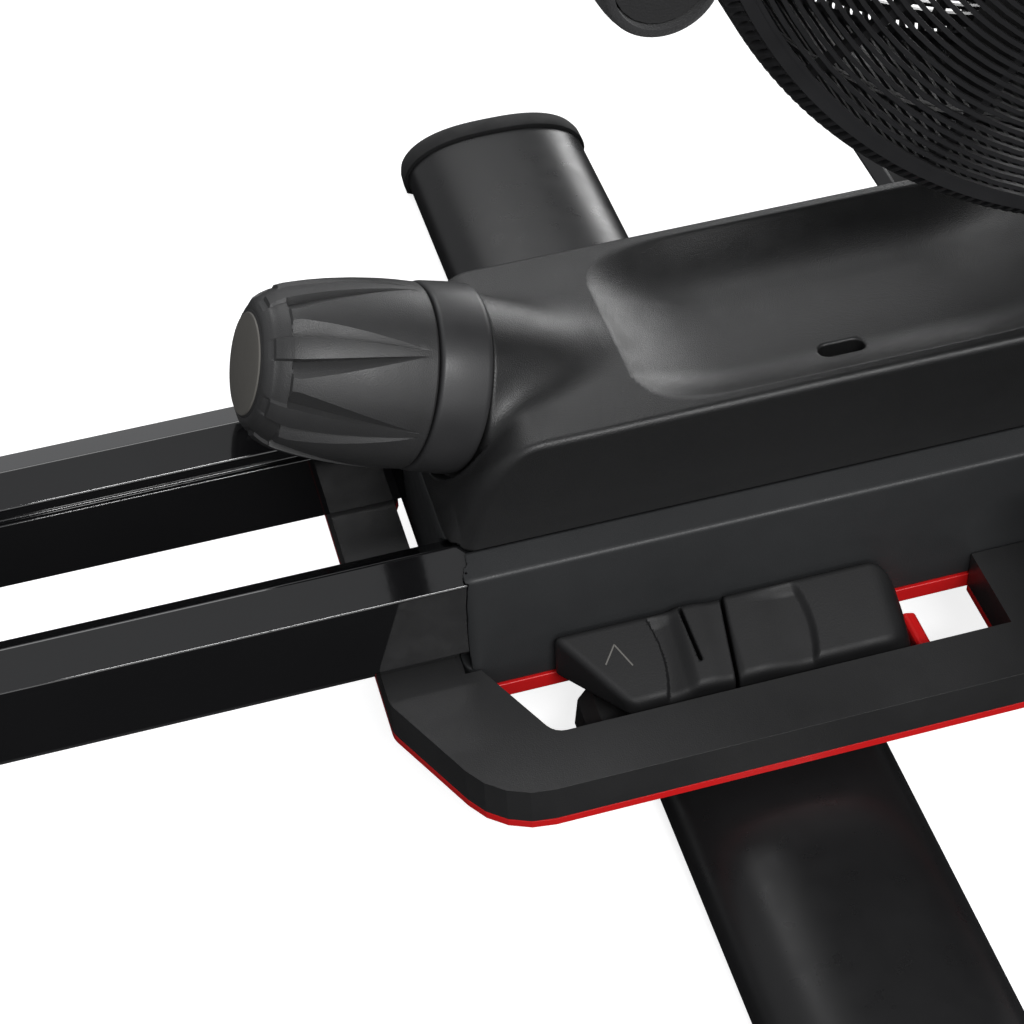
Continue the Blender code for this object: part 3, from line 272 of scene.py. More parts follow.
def looks():
    """Every finish, by name."""
    return {
        "gloss": surface("gloss_paint", (0.006, 0.006, 0.0065), 0.055, 0.02, (420.0, 0.000004), 0.1,
                         extra=(("Coat Weight", 0.6), ("Coat Roughness", 0.03), ("IOR", 1.5))),
        "satin": surface("satin_paint", (0.022, 0.022, 0.0225), 0.38, 0.05, (1900.0, 0.0001)),
        "foot_paint": surface("foot_paint", (0.010, 0.010, 0.0105), 0.30, 0.04, (700.0, 0.00001),
                              extra=(("Specular IOR Level", 0.36),)),
        "body": surface("body_plastic", (0.012, 0.0121, 0.0124), 0.38, 0.05, (2100.0, 0.00016), 0.1),
        "tub": surface("tub_plastic", (0.024, 0.0250, 0.0262), 0.47, 0.05, (2100.0, 0.00011), 0.1),
        "knob": surface("knob_plastic", (0.028, 0.028, 0.0285), 0.42, 0.06, (2100.0, 0.00012), 0.1),
        "ring": surface("ring_plastic", (0.026, 0.026, 0.027), 0.42, 0.05, (2100.0, 0.00006), 0.1),
        "lock": surface("lock_plastic", (0.012, 0.012, 0.0125), 0.50, 0.06, (1500.0, 0.00006),
                        extra=(("Specular IOR Level", 0.24),)),
        "smooth": surface("smooth_plastic", (0.016, 0.016, 0.017), 0.34, 0.06, (900.0, 0.00002)),
        "cap": surface("cap_plastic", (0.115, 0.110, 0.100), 0.42, 0.04, (900.0, 0.00003), 0.08),
        "grey": surface("grey_plastic", (0.11, 0.11, 0.115), 0.42, 0.06, (900.0, 0.00003)),
        "red": surface("red_plastic", (0.66, 0.012, 0.013), 0.33, 0.05, (900.0, 0.00002), 0.08),
        "rubber": surface("black_rubber", (0.014, 0.014, 0.0145), 0.78, 0.08, (1200.0, 0.0001)),
        "foam": surface("grip_foam", (0.018, 0.018, 0.019), 0.88, 0.06, (1900.0, 0.00025),
                        extra=(("Sheen Weight", 0.15),)),
        "leather": surface("seat_vinyl", (0.020, 0.020, 0.021), 0.52, 0.08, (620.0, 0.00016)),
        "steel": surface("brushed_steel", (0.56, 0.57, 0.59), 0.30, 0.09, (2000.0, 0.00002), 0.08,
                         stretch=(1.0, 0.05, 1.0), extra=(("Metallic", 1.0),)),
        "iron": surface("cast_iron", (0.16, 0.16, 0.165), 0.52, 0.1, (900.0, 0.00016),
                        extra=(("Metallic", 1.0),)),
        "screen": surface("display_glass", (0.05, 0.062, 0.052), 0.12, 0.03,
                          extra=(("Coat Weight", 1.0), ("Coat Roughness", 0.02))),
        "ink": surface("display_ink", (0.006, 0.007, 0.007), 0.3, 0.05),
        "webbing": woven("webbing", (0.022, 0.022, 0.024), 0.0016, 0.0003, 0.25),
    }


# ---------------------------------------------------------------- mesh helpers
def from_points(name, points, faces, look, smooth=35.0):
    """A mesh object from points in millimetres, its faces turned outwards."""
    mesh = bpy.data.meshes.new(name)
    mesh.from_pydata([Vector(p) * MM for p in points], [], faces)
    work = bmesh.new()
    work.from_mesh(mesh)
    bmesh.ops.recalc_face_normals(work, faces=work.faces)
    work.to_mesh(mesh)
    work.free()
    mesh.shade_smooth()
    mesh.set_sharp_from_angle(angle=radians(smooth))
    mesh.materials.append(look)
    made = bpy.data.objects.new(name, mesh)
    bpy.context.scene.collection.objects.link(made)
    return made


def attach(piece, body, replaced=()):
    """The piece rides on a body and stands for CAD nodes."""
    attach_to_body(piece, body)
    if replaced:
        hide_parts(*replaced)
    return piece


def bevel(piece, width, segments=3, angle=30.0):
    """Rounds the piece's sharp edges by a width in millimetres."""
    weld = piece.modifiers.new("weld", "WELD")
    weld.merge_threshold = 0.000002
    step = piece.modifiers.new("edges", "BEVEL")
    step.width = width * MM
    step.segments = segments
    step.limit_method = "ANGLE"
    step.angle_limit = radians(angle)
    step.harden_normals = True
    step.miter_outer = "MITER_ARC"


def dress(node, look, width=0.0, segments=3, angle=30.0):
    """A CAD node keeps its shape and gets a better finish, with its edges rounded."""
    piece = NODES[node]
    piece.data.materials.clear()
    piece.data.materials.append(look)
    if width:
        bevel(piece, width, segments, angle)


def lathe(name, profile, place, look, steps=64, ring=False, shape=None, smooth=35.0):
    """A (radius, height) profile turned about the local Z axis of the matrix called place."""
    points = []
    rows = []
    for radius, height in profile:
        if radius < 1e-6:
            rows.append([len(points)] * steps)
            points.append(place @ Vector((0, 0, height)))
            continue
        rows.append(list(range(len(points), len(points) + steps)))
        for i in range(steps):
            turn = 2 * pi * i / steps
            reach = shape(radius, height, turn) if shape else radius
            points.append(place @ Vector((reach * cos(turn), reach * sin(turn), height)))
    pairs = list(zip(rows, rows[1:]))
    if ring:
        pairs.append((rows[-1], rows[0]))
    faces = []
    for low, high in pairs:
        for i in range(steps):
            j = (i + 1) % steps
            faces.append(list(dict.fromkeys([low[i], low[j], high[j], high[i]])))
    return from_points(name, points, faces, look, smooth)


def lofted(name, rings, look, smooth=35.0):
    """A skin through closed rings of equal point counts, with flat ends."""
    points = [point for ring in rings for point in ring]
    count = len(rings[0])
    faces = [list(range(count)), list(range(len(points) - count, len(points)))]
    for row in range(len(rings) - 1):
        for i in range(count):
            j = (i + 1) % count
            low, high = row * count, (row + 1) * count
            faces.append([low + i, low + j, high + j, high + i])
    return from_points(name, points, faces, look, smooth)


class Bars:
    """A mesh of many square bars, gathered into one piece."""

    def __init__(self):
        self.points = []
        self.faces = []

    def run(self, sections):
        """One bar through four-point sections, closed at both ends."""
        first = len(self.points)
        for section in sections:
            self.points.extend(section)
        last = len(self.points) - 4
        self.faces += [[first, first + 1, first + 2, first + 3], [last + 3, last + 2, last + 1, last]]
        for row in range(first, last, 4):
            for i in range(4):
                j = (i + 1) % 4
                self.faces.append([row + i, row + j, row + 4 + j, row + 4 + i])

    def piece(self, name, look, smooth=40.0):
        return from_points(name, self.points, self.faces, look, smooth)


def along_y(x, y, z, sign=1):
    """A matrix whose local Z axis points to +Y, or to -Y for a sign of -1."""
    return Matrix.Translation((x, y, z)) @ Matrix.Rotation(-sign * pi / 2, 4, "X")


# ---------------------------------------------------------------- moulded shapes from a distance field
def blend_max(a, b, soft):
    """The larger of two distances, with the edge between them rounded."""
    mix = np.maximum(soft - np.abs(a - b), 0.0) / soft
    return np.maximum(a, b) + mix * mix * soft * 0.25


def blend_min(a, b, soft):
    """The smaller of two distances, with a fillet between the shapes."""
    return -blend_max(-a, -b, soft)


def plan_box(a, b, centre, half, radius):
    """Distance to a rounded rectangle in two coordinates."""
    over_a = np.abs(a - centre[0]) - (half[0] - radius)
    over_b = np.abs(b - centre[1]) - (half[1] - radius)
    outside = np.hypot(np.maximum(over_a, 0.0), np.maximum(over_b, 0.0))
    return outside + np.minimum(np.maximum(over_a, over_b), 0.0) - radius


def slopes(field, points):
    """The field's gradient at each point, by central differences."""
    reach = 0.05
    parts = []
    for axis in range(3):
        step = np.zeros(3)
        step[axis] = reach
        parts.append((field(*(points + step).T) - field(*(points - step).T)) / (2 * reach))
    return np.stack(parts, axis=1)


def net_vertices(value, inside, low, step):
    """One point in each cell that the surface crosses, and the cells' numbering."""
    shape = [n - 1 for n in value.shape]
    total = np.zeros(shape, np.int8)
    corners = [np.array((a, b, c)) for a in (0, 1) for b in (0, 1) for c in (0, 1)]
    for a, b, c in corners:
        total += inside[a:a + shape[0], b:b + shape[1], c:c + shape[2]]
    cells = np.argwhere((total > 0) & (total < 8))
    number = np.full(shape, -1)
    number[tuple(cells.T)] = np.arange(len(cells))
    place = np.zeros((len(cells), 3))
    count = np.zeros((len(cells), 1))
    for first in corners:
        for axis in range(3):
            if first[axis]:
                continue
            second = first.copy()
            second[axis] = 1
            start = value[tuple((cells + first).T)]
            end = value[tuple((cells + second).T)]
            crossing = (start < 0.0) != (end < 0.0)
            part = np.where(crossing, start / np.where(crossing, start - end, 1.0), 0.0)
            place += crossing[:, None] * (first + (second - first) * part[:, None])
            count += crossing[:, None]
    return np.array(low) + (cells + place / count) * step, number


def net_faces(inside, number):
    """A quad round each grid edge that the surface crosses, facing outwards."""
    faces = []
    for axis in range(3):
        turned = np.moveaxis(inside, [axis, (axis + 1) % 3, (axis + 2) % 3], [0, 1, 2])
        numbers = np.moveaxis(number, [axis, (axis + 1) % 3, (axis + 2) % 3], [0, 1, 2])
        first, second = turned[:-1], turned[1:]
        for outward, changed in ((1, first & ~second), (-1, ~first & second)):
            i, j, k = np.nonzero(changed[:, 1:-1, 1:-1])
            quad = [numbers[i, j, k], numbers[i, j + 1, k], numbers[i, j + 1, k + 1], numbers[i, j, k + 1]]
            faces.append(np.stack(quad[::outward], axis=1))
    return np.concatenate(faces)


def moulded(name, field, low, high, step, look):
    """The closed surface where field(x, y, z) is zero, in millimetres, with true normals."""
    axes = [np.arange(low[i] - 1.5 * step, high[i] + 1.6 * step, step) for i in range(3)]
    value = field(*np.meshgrid(*axes, indexing="ij"))
    inside = value < 0.0
    points, number = net_vertices(value, inside, [a[0] for a in axes], step)
    for _ in range(3):
        slope = slopes(field, points)
        size = np.maximum((slope * slope).sum(axis=1), 0.05)
        move = (field(*points.T) / size)[:, None] * slope
        points -= np.clip(move, -0.6 * step, 0.6 * step)
    faces = net_faces(inside, number)
    mesh = bpy.data.meshes.new(name)
    mesh.from_pydata(points * MM, [], faces.tolist())
    mesh.shade_smooth()
    normals = slopes(field, points)
    normals /= np.maximum(np.linalg.norm(normals, axis=1), 1e-9)[:, None]
    mesh.normals_split_custom_set_from_vertices(normals)
    mesh.materials.append(look)
    made = bpy.data.objects.new(name, mesh)
    bpy.context.scene.collection.objects.link(made)
    return made


# ---------------------------------------------------------------- the two body mouldings
TAPER_START_X = 690.0
TAPER = 0.30                      # how much of its width the body has lost at its front
REAR_SLOPE_X = 340.0
FRONT_FALL_X = 660.0
TRAY_DEPTH = 13.5
TRAY_REAR_X = 382.0
TRAY_FRONT_X = 575.0
TRAY_END_WALL = 50.0
TRAY_HALF = 50.0
TRAY_SIDE_WALL = 28.0
TRAY_CORNER = 24.0
COLLAR_SEAT_RADIUS = 39.6
COLLAR_SEAT_BACK = 10.2
PORT = (471.5, -26.0)
PORT_HALF = (9.5, 4.0)
STRIP_OUTER = 68.2
STRIP_INNER = 58.0
COVER_STEP = 1.1
TUB_STEP = 1.05


def front_taper(x):
    """The part of its full width that the body has at x."""
    part = np.clip((x - TAPER_START_X) / (BODY_FRONT_X - TAPER_START_X), 0.0, 1.0)
    return 1.0 - TAPER * part * part


def cover_height(x):
    """Height of the cover's top: a steep rear slope, a long level and a falling front."""
    rear = np.clip((REAR_SLOPE_X - x) / 40.0, 0.0, 1.3)
    front = np.clip((x - FRONT_FALL_X) / (BODY_FRONT_X - FRONT_FALL_X), 0.0, 1.1)
    return COVER_TOP_Z - 50.0 * rear ** 2.2 - 40.0 * front * front


def knob_axes(x, y, z):
    """Distance along the knob's axis towards the rower, and distance from that axis."""
    along = -(x - KNOB_COLLAR[0]) * cos(KNOB_TILT) + (z - KNOB_COLLAR[2]) * sin(KNOB_TILT)
    across = (x - KNOB_COLLAR[0]) * sin(KNOB_TILT) + (z - KNOB_COLLAR[2]) * cos(KNOB_TILT)
    return along, np.hypot(across, y)


def tray_depth(x, y):
    """Depth of the scooped tray below the cover's top: long end walls and short side walls."""
    corner = np.clip((np.abs(y) - TRAY_HALF + TRAY_CORNER) / TRAY_CORNER, 0.0, 1.0)
    rim = TRAY_CORNER * (1.0 - np.sqrt(1.0 - corner * corner))
    rear = np.clip((x - TRAY_REAR_X - rim) / TRAY_END_WALL, 0.0, 1.0)
    front = np.clip((TRAY_FRONT_X - rim - x) / TRAY_END_WALL, 0.0, 1.0)
    side = np.clip((TRAY_HALF - np.abs(y)) / TRAY_SIDE_WALL, 0.0, 1.0)
    bowl = 1.0
    for part in (rear, front, side):
        bowl = bowl * (1.0 - (1.0 - part) ** 2.0)
    return TRAY_DEPTH * bowl


def rail_room(x, y, z):
    """Distance to a shadow gap round each rail where it enters the body."""
    across = np.abs(np.abs(y) - 51.0) - 15.3
    roof = z - (121.4 - 0.37 * np.maximum(np.abs(y) - 49.0, 0.0) - 0.66 * np.maximum(49.0 - np.abs(y), 0.0))
    return np.maximum(np.maximum(across, roof), np.maximum(66.4 - z, x - 306.0))


def fork_room(x, y):
    """Distance to the two slots that the fan fork's legs pass through."""
    return plan_box(x, np.abs(y), (FAN_X, 48.0), (20.5, 3.2), 1.0)


def cover_field(x, y, z):
    """The thin top moulding: crowned top, tray, nose for the knob and its collar's seat."""
    wide = front_taper(x)
    near_rear = np.clip((336.0 - x) / 30.0, 0.0, 1.0)
    rise = np.clip((z - SEAM_Z) / 51.0, 0.0, 1.0)
    side = np.abs(y) - (54.4 + 1.6 * rise - 2.4 * rise * (1.0 - rise)) * wide
    height = cover_height(x) + 1.4 * (1.0 - (y / 56.0) ** 2)
    steep = 1.0 + 1.1 * near_rear
    top = (z - height + tray_depth(x, y)) / steep
    rim = blend_max(top, (z - height) / steep, 1.2)
    shell = blend_max(side, rim, 3.4 + 14.0 * near_rear * near_rear)
    along, radius = knob_axes(x, y, z)
    nose = (radius - np.clip(35.0 + 0.135 * (along + 10.0), 20.0, 36.0)) * 0.99
    shell = blend_min(shell, blend_max(nose, -along - 66.0, 12.0), 9.0)
    seat = np.maximum(radius - COLLAR_SEAT_RADIUS, -COLLAR_SEAT_BACK - along)
    shell = blend_max(shell, -seat, 1.6)
    shell = blend_max(shell, BODY_REAR_X - x, 3.0)
    shell = blend_max(shell, x - BODY_FRONT_X, 9.0)
    shell = blend_max(shell, SEAM_Z + 0.3 - z, 0.8)
    port = blend_max(plan_box(x, y, PORT, PORT_HALF, 3.9), 146.0 - z, 1.0)
    shell = blend_max(shell, -port, 1.2)
    shell = blend_max(shell, -fork_room(x, y), 0.8)
    return blend_max(shell, -rail_room(x, y, z), 0.8)


def lower_field(x, y, z):
    """The tub below the parting line, with its sloping ledge."""
    wide = front_taper(x)
    side = np.abs(y) - (BODY_HALF - 1.0 * ((z - 84.0) / 32.0) ** 2) * wide
    ledge = (z - SEAM_Z + 0.17 * np.maximum(np.abs(y) / wide - 54.0, 0.0)) * 0.98
    shell = blend_max(side, ledge, 1.5)
    ends = blend_max(BODY_REAR_X - x, x - BODY_FRONT_X, 1.0)
    shell = blend_max(shell, ends, 8.0)
    shell = blend_max(shell, TRIM_TOP_Z + 0.4 - z, 1.6)
    shell = blend_max(shell, -np.maximum(np.abs(y) - 53.4 * wide, SEAM_Z - 1.6 - z), 0.6)
    shell = blend_max(shell, -rail_room(x, y, z), 0.8)
    stand = plan_box(x, y, (418.0, 0.0), (27.5, 21.5), 1.0)
    front_stand = plan_box(x, y, (806.0, 0.0), (21.5, 21.5), 1.0)
    return blend_max(shell, -np.maximum(np.minimum(stand, front_stand), z - 64.0), 0.6)


def strip_section(x, sign):
    """The red strip's section under one edge of the tub."""
    outer = sign * STRIP_OUTER * front_taper(x)
    inner = sign * STRIP_INNER * front_taper(x)
    return [(x, outer, TRIM_LOW_Z), (x, outer, TRIM_TOP_Z), (x, inner, TRIM_TOP_Z), (x, inner, TRIM_LOW_Z)]


def body_shells(finishes):
    low, high = (BODY_REAR_X, -57.0, 118.0), (BODY_FRONT_X, 57.0, 206.0)
    cover = moulded("body_cover", cover_field, low, high, COVER_STEP, finishes["body"])
    attach(cover, "frame", ["upper_cover"])
    low, high = (BODY_REAR_X, -BODY_HALF, 50.0), (BODY_FRONT_X, BODY_HALF, 122.0)
    tub = moulded("body_tub", lower_field, low, high, TUB_STEP, finishes["tub"])
    attach(tub, "frame", ["lower_body"])
    trim = Bars()
    for side, sign in SIDES:
        trim.run([strip_section(x, sign) for x in np.linspace(BODY_REAR_X + 1.0, BODY_FRONT_X - 1.0, 40)])
    strip = trim.piece("body_strip", finishes["red"])
    bevel(strip, 0.5, 2)
    attach(strip, "frame", ["body_trim"])


# ---------------------------------------------------------------- tension knob
KNOB_LENGTH = 64.5
KNOB_REACH = 12.4
FACET_END = 55.6
RIB_END = 61.6
RIBS = 7
RIB_PITCH = 2 * pi / RIBS
RIB_FACING = Vector((0.272, -0.624, 0.731))
KNOB_OUTLINE = (
    # height along the knob's axis, radius
    (0.0, 36.2), (0.8, 36.7), (8.0, 36.9), (15.0, 36.8), (25.0, 36.2), (35.0, 35.1), (42.0, 34.0),
    (48.0, 32.8), (52.0, 31.9), (55.0, 30.9), (58.5, 29.1), (61.6, 26.8), (63.3, 24.5), (64.2, 22.3),
    (KNOB_LENGTH, 20.9),
)
KNOB_ROWS = (
    0.0, 0.4, 0.8, *range(2, 54, 2), 53.5, 54.6, 55.1, 55.6, 56.4, 57.4, 58.5, 59.5, 60.4, 61.2, 61.6, 62.2,
    62.8, 63.3, 63.8, 64.2, KNOB_LENGTH,
)
# A dark disc under the cap's edge that shows as a thin dark ring: painted shade standing for the gap round
# the cap.
CAP_GAP_SHADE_PROFILE = ((0.0, -1.0), (20.6, -1.0), (20.6, 0.2), (20.0, 0.5), (0.0, 0.5))
FACE_PROFILE = (
    (0.0, 0.0), (19.6, 0.0), (19.8, 0.7), (19.5, 1.1), (18.6, 1.3), (12.0, 1.7), (6.0, 1.9), (0.0, 2.0),
)
RING_PROFILE = (
    (6.0, -9.6), (36.3, -9.6), (37.3, -9.2), (37.8, -8.4), (37.9, -7.0), (37.8, 0.0), (37.4, 9.6),
    (37.2, 10.6), (36.5, 11.3), (35.4, 11.5), (6.0, 11.5),
)


def knob_place(reach):
    """A matrix whose local Z axis is the knob's axis, pointing out to the rower."""
    axis = Vector((-cos(KNOB_TILT), 0.0, sin(KNOB_TILT)))
    centre = Vector(KNOB_COLLAR) + axis * reach
    return Matrix.Translation(centre) @ axis.to_track_quat("Z", "Y").to_matrix().to_4x4()


def rib_turn():
    """The turn about the knob's axis at which one rib's centre stands."""
    facing = knob_place(0.0).to_3x3().inverted() @ RIB_FACING
    return atan2(facing.y, facing.x)


def knob_radius(height):
    """The knob's outline where nothing is cut from it."""
    return float(np.interp(height, *zip(*KNOB_OUTLINE)))


def ramp(value, start, end):
    """From 0 at start to 1 at end, in a straight line."""
    return min(1.0, max(0.0, (value - start) / (end - start)))


def rib_profile(height):
    """(turn from a rib's centre, cut below the outline) for half a pitch round the knob."""
    fade = ramp(height, 5.0, 52.0)
    rib = radians(1.6 + 6.2 * fade)
    wall = rib + radians(0.2 + 1.5 * fade)
    slope = wall + radians(0.5 + 11.0 * fade)
    close = ramp(height, RIB_END + 1.6, FACET_END)
    depth = 3.6 * fade ** 0.8 * close
    band = 1.3 * ramp(height, FACET_END - 0.5, FACET_END) * ramp(height, KNOB_LENGTH, KNOB_LENGTH - 4.0)
    crown = 1.5 * ramp(height, RIB_END - 0.4, RIB_END) * ramp(height, KNOB_LENGTH, KNOB_LENGTH - 2.6)
    depth = max(depth * (1.0 - ramp(height, FACET_END - 0.5, FACET_END)), band)
    half = RIB_PITCH / 2
    top = [(rib * part, crown) for part in (0.0, 0.3, 0.6, 0.88, 1.0)]
    flank = [
        (wall + (slope - wall) * part, band + (depth - band) * (1.0 - part))
        for part in (0.0, 0.25, 0.5, 0.75, 1.0)
    ]
    rest = [(slope + (half - slope) * part, band) for part in (0.12, 0.35, 0.6, 0.85)]
    return top + flank + rest


def ribbed_rows(heights, place):
    """Rings of points for the knob's side, their columns following the edges of the ribs."""
    rows = []
    for height in heights:
        half = rib_profile(height)
        pitch = [(-turn, cut) for turn, cut in reversed(half[1:])] + half
        radius = knob_radius(height)
        row = []
        for rib in range(RIBS):
            for turn, cut in pitch:
                angle = rib_turn() + rib * RIB_PITCH + turn
                row.append(place @ Vector(((radius - cut) * cos(angle), (radius - cut) * sin(angle), height)))
        rows.append(row)
    return rows


def knob(finishes):
    place = knob_place(KNOB_REACH)
    grip = lofted("knob_grip", ribbed_rows(KNOB_ROWS, place), finishes["knob"], 24.0)
    attach(grip, "knob", ["tension_knob"])
    outer_end = knob_place(KNOB_REACH + KNOB_LENGTH)
    # The rubber finish on this disc is painted shade for the gap round the cap.
    rim = lathe("knob_cap_gap_shade", CAP_GAP_SHADE_PROFILE, outer_end, finishes["rubber"], 96)
    attach(rim, "knob")
    face = lathe("knob_face", FACE_PROFILE, outer_end, finishes["cap"], 96)
    attach(face, "knob", ["knob_cap"])
    collar = lathe("knob_ring", RING_PROFILE, knob_place(0.0), finishes["ring"], 160, ring=True, smooth=50.0)
    attach(collar, "frame", ["knob_collar"])
    dress("knob_shaft", finishes["steel"])


# ---------------------------------------------------------------- foot locks in the side loops
LOCK_INNER = 70.3
LOCK_OUTER = 102.2


def wedge(x, start, end):
    """From 0 before start to 1 after end, eased at both."""
    part = np.clip((x - start) / (end - start), 0.0, 1.0)
    return part * part * (3.0 - 2.0 * part)


def lock_top(x, across):
    """Height of the lock's sloping top: a hollow, a ridge, a step and a scoop along it."""
    bow = 3.2 * ((across - 87.0) / 16.0) ** 2
    plane = 79.6 - 0.49 * (across - 69.5)
    inner = wedge(across, 70.0, 76.0)
    dip = 2.6 * wedge(x, 376.5 - bow, 378.0 - bow) * (1.0 - wedge(x, 378.0 - bow, 389.0)) * inner
    ridge = 1.5 * wedge(x, 383.0, 389.0) * (1.0 - wedge(x, 393.0, 403.0))
    lever = 1.2 * wedge(x, 404.0, 408.0)
    scoop = 2.6 * wedge(x, 414.0, 434.0) * (1.0 - wedge(x, 438.0 - bow, 441.5 - bow)) * inner
    return plane - dip + ridge + lever - scoop


def lock_block(x, across, z):
    """The shape that the fixed cover and the lever share, before their ends are cut."""
    shape = blend_max((z - lock_top(x, across)) * 0.9, np.abs(across - 86.25) - 15.95, 3.0)
    return blend_max(shape, 45.0 - z, 1.0)


def lock_cover_field(sign):
    def field(x, y, z):
        across = sign * y
        shape = lock_block(x, across, z)
        shape = blend_max(shape, (334.5 - x + 0.75 * (across - 69.5)) * 0.8, 3.0)
        shape = blend_max(shape, 57.0 - z, 1.2)
        shape = blend_max(shape, x - 404.6 + 0.10 * (across - 86.0), 1.2)
        slit = plan_box(x - 0.12 * (across - 84.0), across, (390.2, 82.0), (0.7, 10.5), 0.65)
        return blend_max(shape, -np.maximum(slit, 60.0 - z), 0.7)
    return field


def lock_lever_field(sign):
    def field(x, y, z):
        across = sign * y
        shape = lock_block(x, across, z)
        shape = blend_max(shape, 405.9 - x - 0.10 * (across - 86.0), 1.2)
        slope = (x - 479.0 + 0.20 * (across - 86.0) + 0.30 * (z - 66.0)) * 0.94
        return blend_max(shape, slope, 9.0)
    return field


def arrow_mark(side, sign, finishes):
    """A plain raised chevron on the lock's cover."""
    points = []
    faces = []
    for ends in (((359.0, 79.0), (353.5, 85.5)), ((359.0, 79.0), (364.0, 88.0))):
        a, b = Vector(ends[0]), Vector(ends[1])
        off = (b - a).orthogonal().normalized() * 0.28
        base = len(points)
        for corner in (a + off, a - off, b - off, b + off):
            high = float(lock_top(np.array(corner.x), np.array(corner.y)))
            points += [(corner.x, sign * corner.y, high - 0.6), (corner.x, sign * corner.y, high + 0.14)]
        ring = [0, 2, 4, 6]
        faces.append([base + i for i in ring])
        faces.append([base + i + 1 for i in ring])
        for i in range(4):
            j = (i + 1) % 4
            faces.append([base + ring[i], base + ring[j], base + ring[j] + 1, base + ring[i] + 1])
    mark = from_points(f"lock_mark_{side}", points, faces, finishes["cap"])
    attach(mark, "frame")


def locks(finishes):
    for side, sign in SIDES:
        edges = sorted((sign * LOCK_INNER, sign * LOCK_OUTER))
        low, high = (333.0, edges[0], 56.0), (407.0, edges[1], 82.0)
        cover = moulded(f"lock_shell_{side}", lock_cover_field(sign), low, high, 0.8, finishes["lock"])
        attach(cover, "frame", [f"lock_cover_{side}"])
        low, high = (403.0, edges[0], 45.0), (488.0, edges[1], 82.0)
        lever = moulded(f"lock_handle_{side}", lock_lever_field(sign), low, high, 0.9, finishes["lock"])
        attach(lever, f"lock_lever_{side}", [f"lock_lever_{side}"])
        arrow_mark(side, sign, finishes)
        dress(f"foot_saddle_{side}", finishes["rubber"], 1.0)
        dress(f"release_tab_{side}", finishes["red"], 0.6)


# ---------------------------------------------------------------- the wide cross foot
FOOT_X = 418.0
FOOT_HALF_WIDTH = 49.5
FOOT_SPAN = 334.0
FOOT_END = 350.0


def foot_ring(y, base, grow):
    """The cross foot's section at one y: a flat base under a smooth crown."""
    half = FOOT_HALF_WIDTH + grow
    ring = [(FOOT_X + half - 5.0, y, base), (FOOT_X + half - 1.0, y, base + 2.0)]
    for i in range(49):
        part = cos(pi * i / 48)
        ring.append((FOOT_X + half * part, y, 9.0 + (22.0 + grow) * (1.0 - abs(part) ** 2.65) ** 0.5))
    return ring + [(FOOT_X - half + 1.0, y, base + 2.0), (FOOT_X - half + 5.0, y, base)]


def cross_foot(finishes):
    rings = [foot_ring(y, 3.0, 0.0) for y in np.linspace(-FOOT_SPAN, FOOT_SPAN, 40)]
    foot = lofted("cross_foot", rings, finishes["foot_paint"], 60.0)
    attach(foot, "frame", ["middle_foot"])
    for side, sign in SIDES:
        rings = [foot_ring(sign * y, base, grow) for y, base, grow in (
            (FOOT_SPAN + 0.4, 0.0, 1.6), (FOOT_SPAN + 0.9, 0.0, 2.0), (FOOT_END - 7.0, 0.0, 2.0),
            (FOOT_END - 3.0, 0.2, 1.0), (FOOT_END - 1.0, 1.0, -1.0), (FOOT_END, 2.5, -4.0),
        )]
        cap = lofted(f"cross_foot_end_{side}", rings, finishes["rubber"], 60.0)
        attach(cap, "frame", [f"middle_foot_cap_{side}"])


# ---------------------------------------------------------------- the fan's cage
RIB_SPACING = 3.5
TICK_SPACING = 4.6
SPIRAL_RADII = (62.0, 216.0)
SPIRAL_STEPS = 100                # points in each turn of the spiral
SPOKES = 20
SHOULDER = 190.0                  # radius beyond which the cage's face curves back
FORK_ROOM_X = 22.5
FORK_ROOM_Y = 52.0


def on_cage(radius, turn, y):
    """A point round the fan's axis."""
    return (FAN_X + radius * cos(turn), y, FAN_Z + radius * sin(turn))


def cage_clear(turn):
    """The |y| beyond which the rim is whole at this turn: the fork and the strap pass inside it."""
    x, _, z = on_cage(CAGE_RADIUS, turn, 0.0)
    if abs(x - FAN_X) < FORK_ROOM_X:
        return FORK_ROOM_Y
    if x < FAN_X and abs(z - STRAP_Z - 1.0) < 15.0:
        return 16.0
    return 0.3


def arc(bars, sign, low, high, inner, outer, turns):
    """A hoop round the fan's axis through the given turns, from |y| low to high."""
    bars.run([[
        on_cage(inner, turn, sign * low), on_cage(outer, turn, sign * low), on_cage(outer, turn, sign * high),
        on_cage(inner, turn, sign * high),
    ] for turn in turns])


def face_spiral(bars, sign):
    """The fine spiral over the cage's face."""
    start, end = SPIRAL_RADII
    spiral = []
    for i in range(int((end - start) / RIB_SPACING * SPIRAL_STEPS)):
        radius = start + RIB_SPACING * i / SPIRAL_STEPS
        turn = 2 * pi * i / SPIRAL_STEPS
        y = sign * (CAGE_HALF - 2.6 * max(0.0, (radius - SHOULDER) / 30.0) ** 2)
        spiral.append([
            on_cage(radius - 0.8, turn, y - sign * 2.2), on_cage(radius - 0.8, turn, y),
            on_cage(radius + 0.8, turn, y), on_cage(radius + 0.8, turn, y - sign * 2.2),
        ])
    bars.run(spiral)


def face_spokes(bars, sign):
    """The spokes behind the spiral, which hold it."""
    for i in range(SPOKES):
        turn = 2 * pi * i / SPOKES
        spoke = []
        for radius in (58.0, SHOULDER, 219.0):
            y = CAGE_HALF - 2.0 - 3.4 * max(0.0, (radius - SHOULDER) / 30.0) ** 2
            off = 1.9 / radius
            spoke.append([
                on_cage(radius, turn - off, sign * (y - 3.2)), on_cage(radius, turn - off, sign * y),
                on_cage(radius, turn + off, sign * y), on_cage(radius, turn + off, sign * (y - 3.2)),
            ])
        bars.run(spoke)


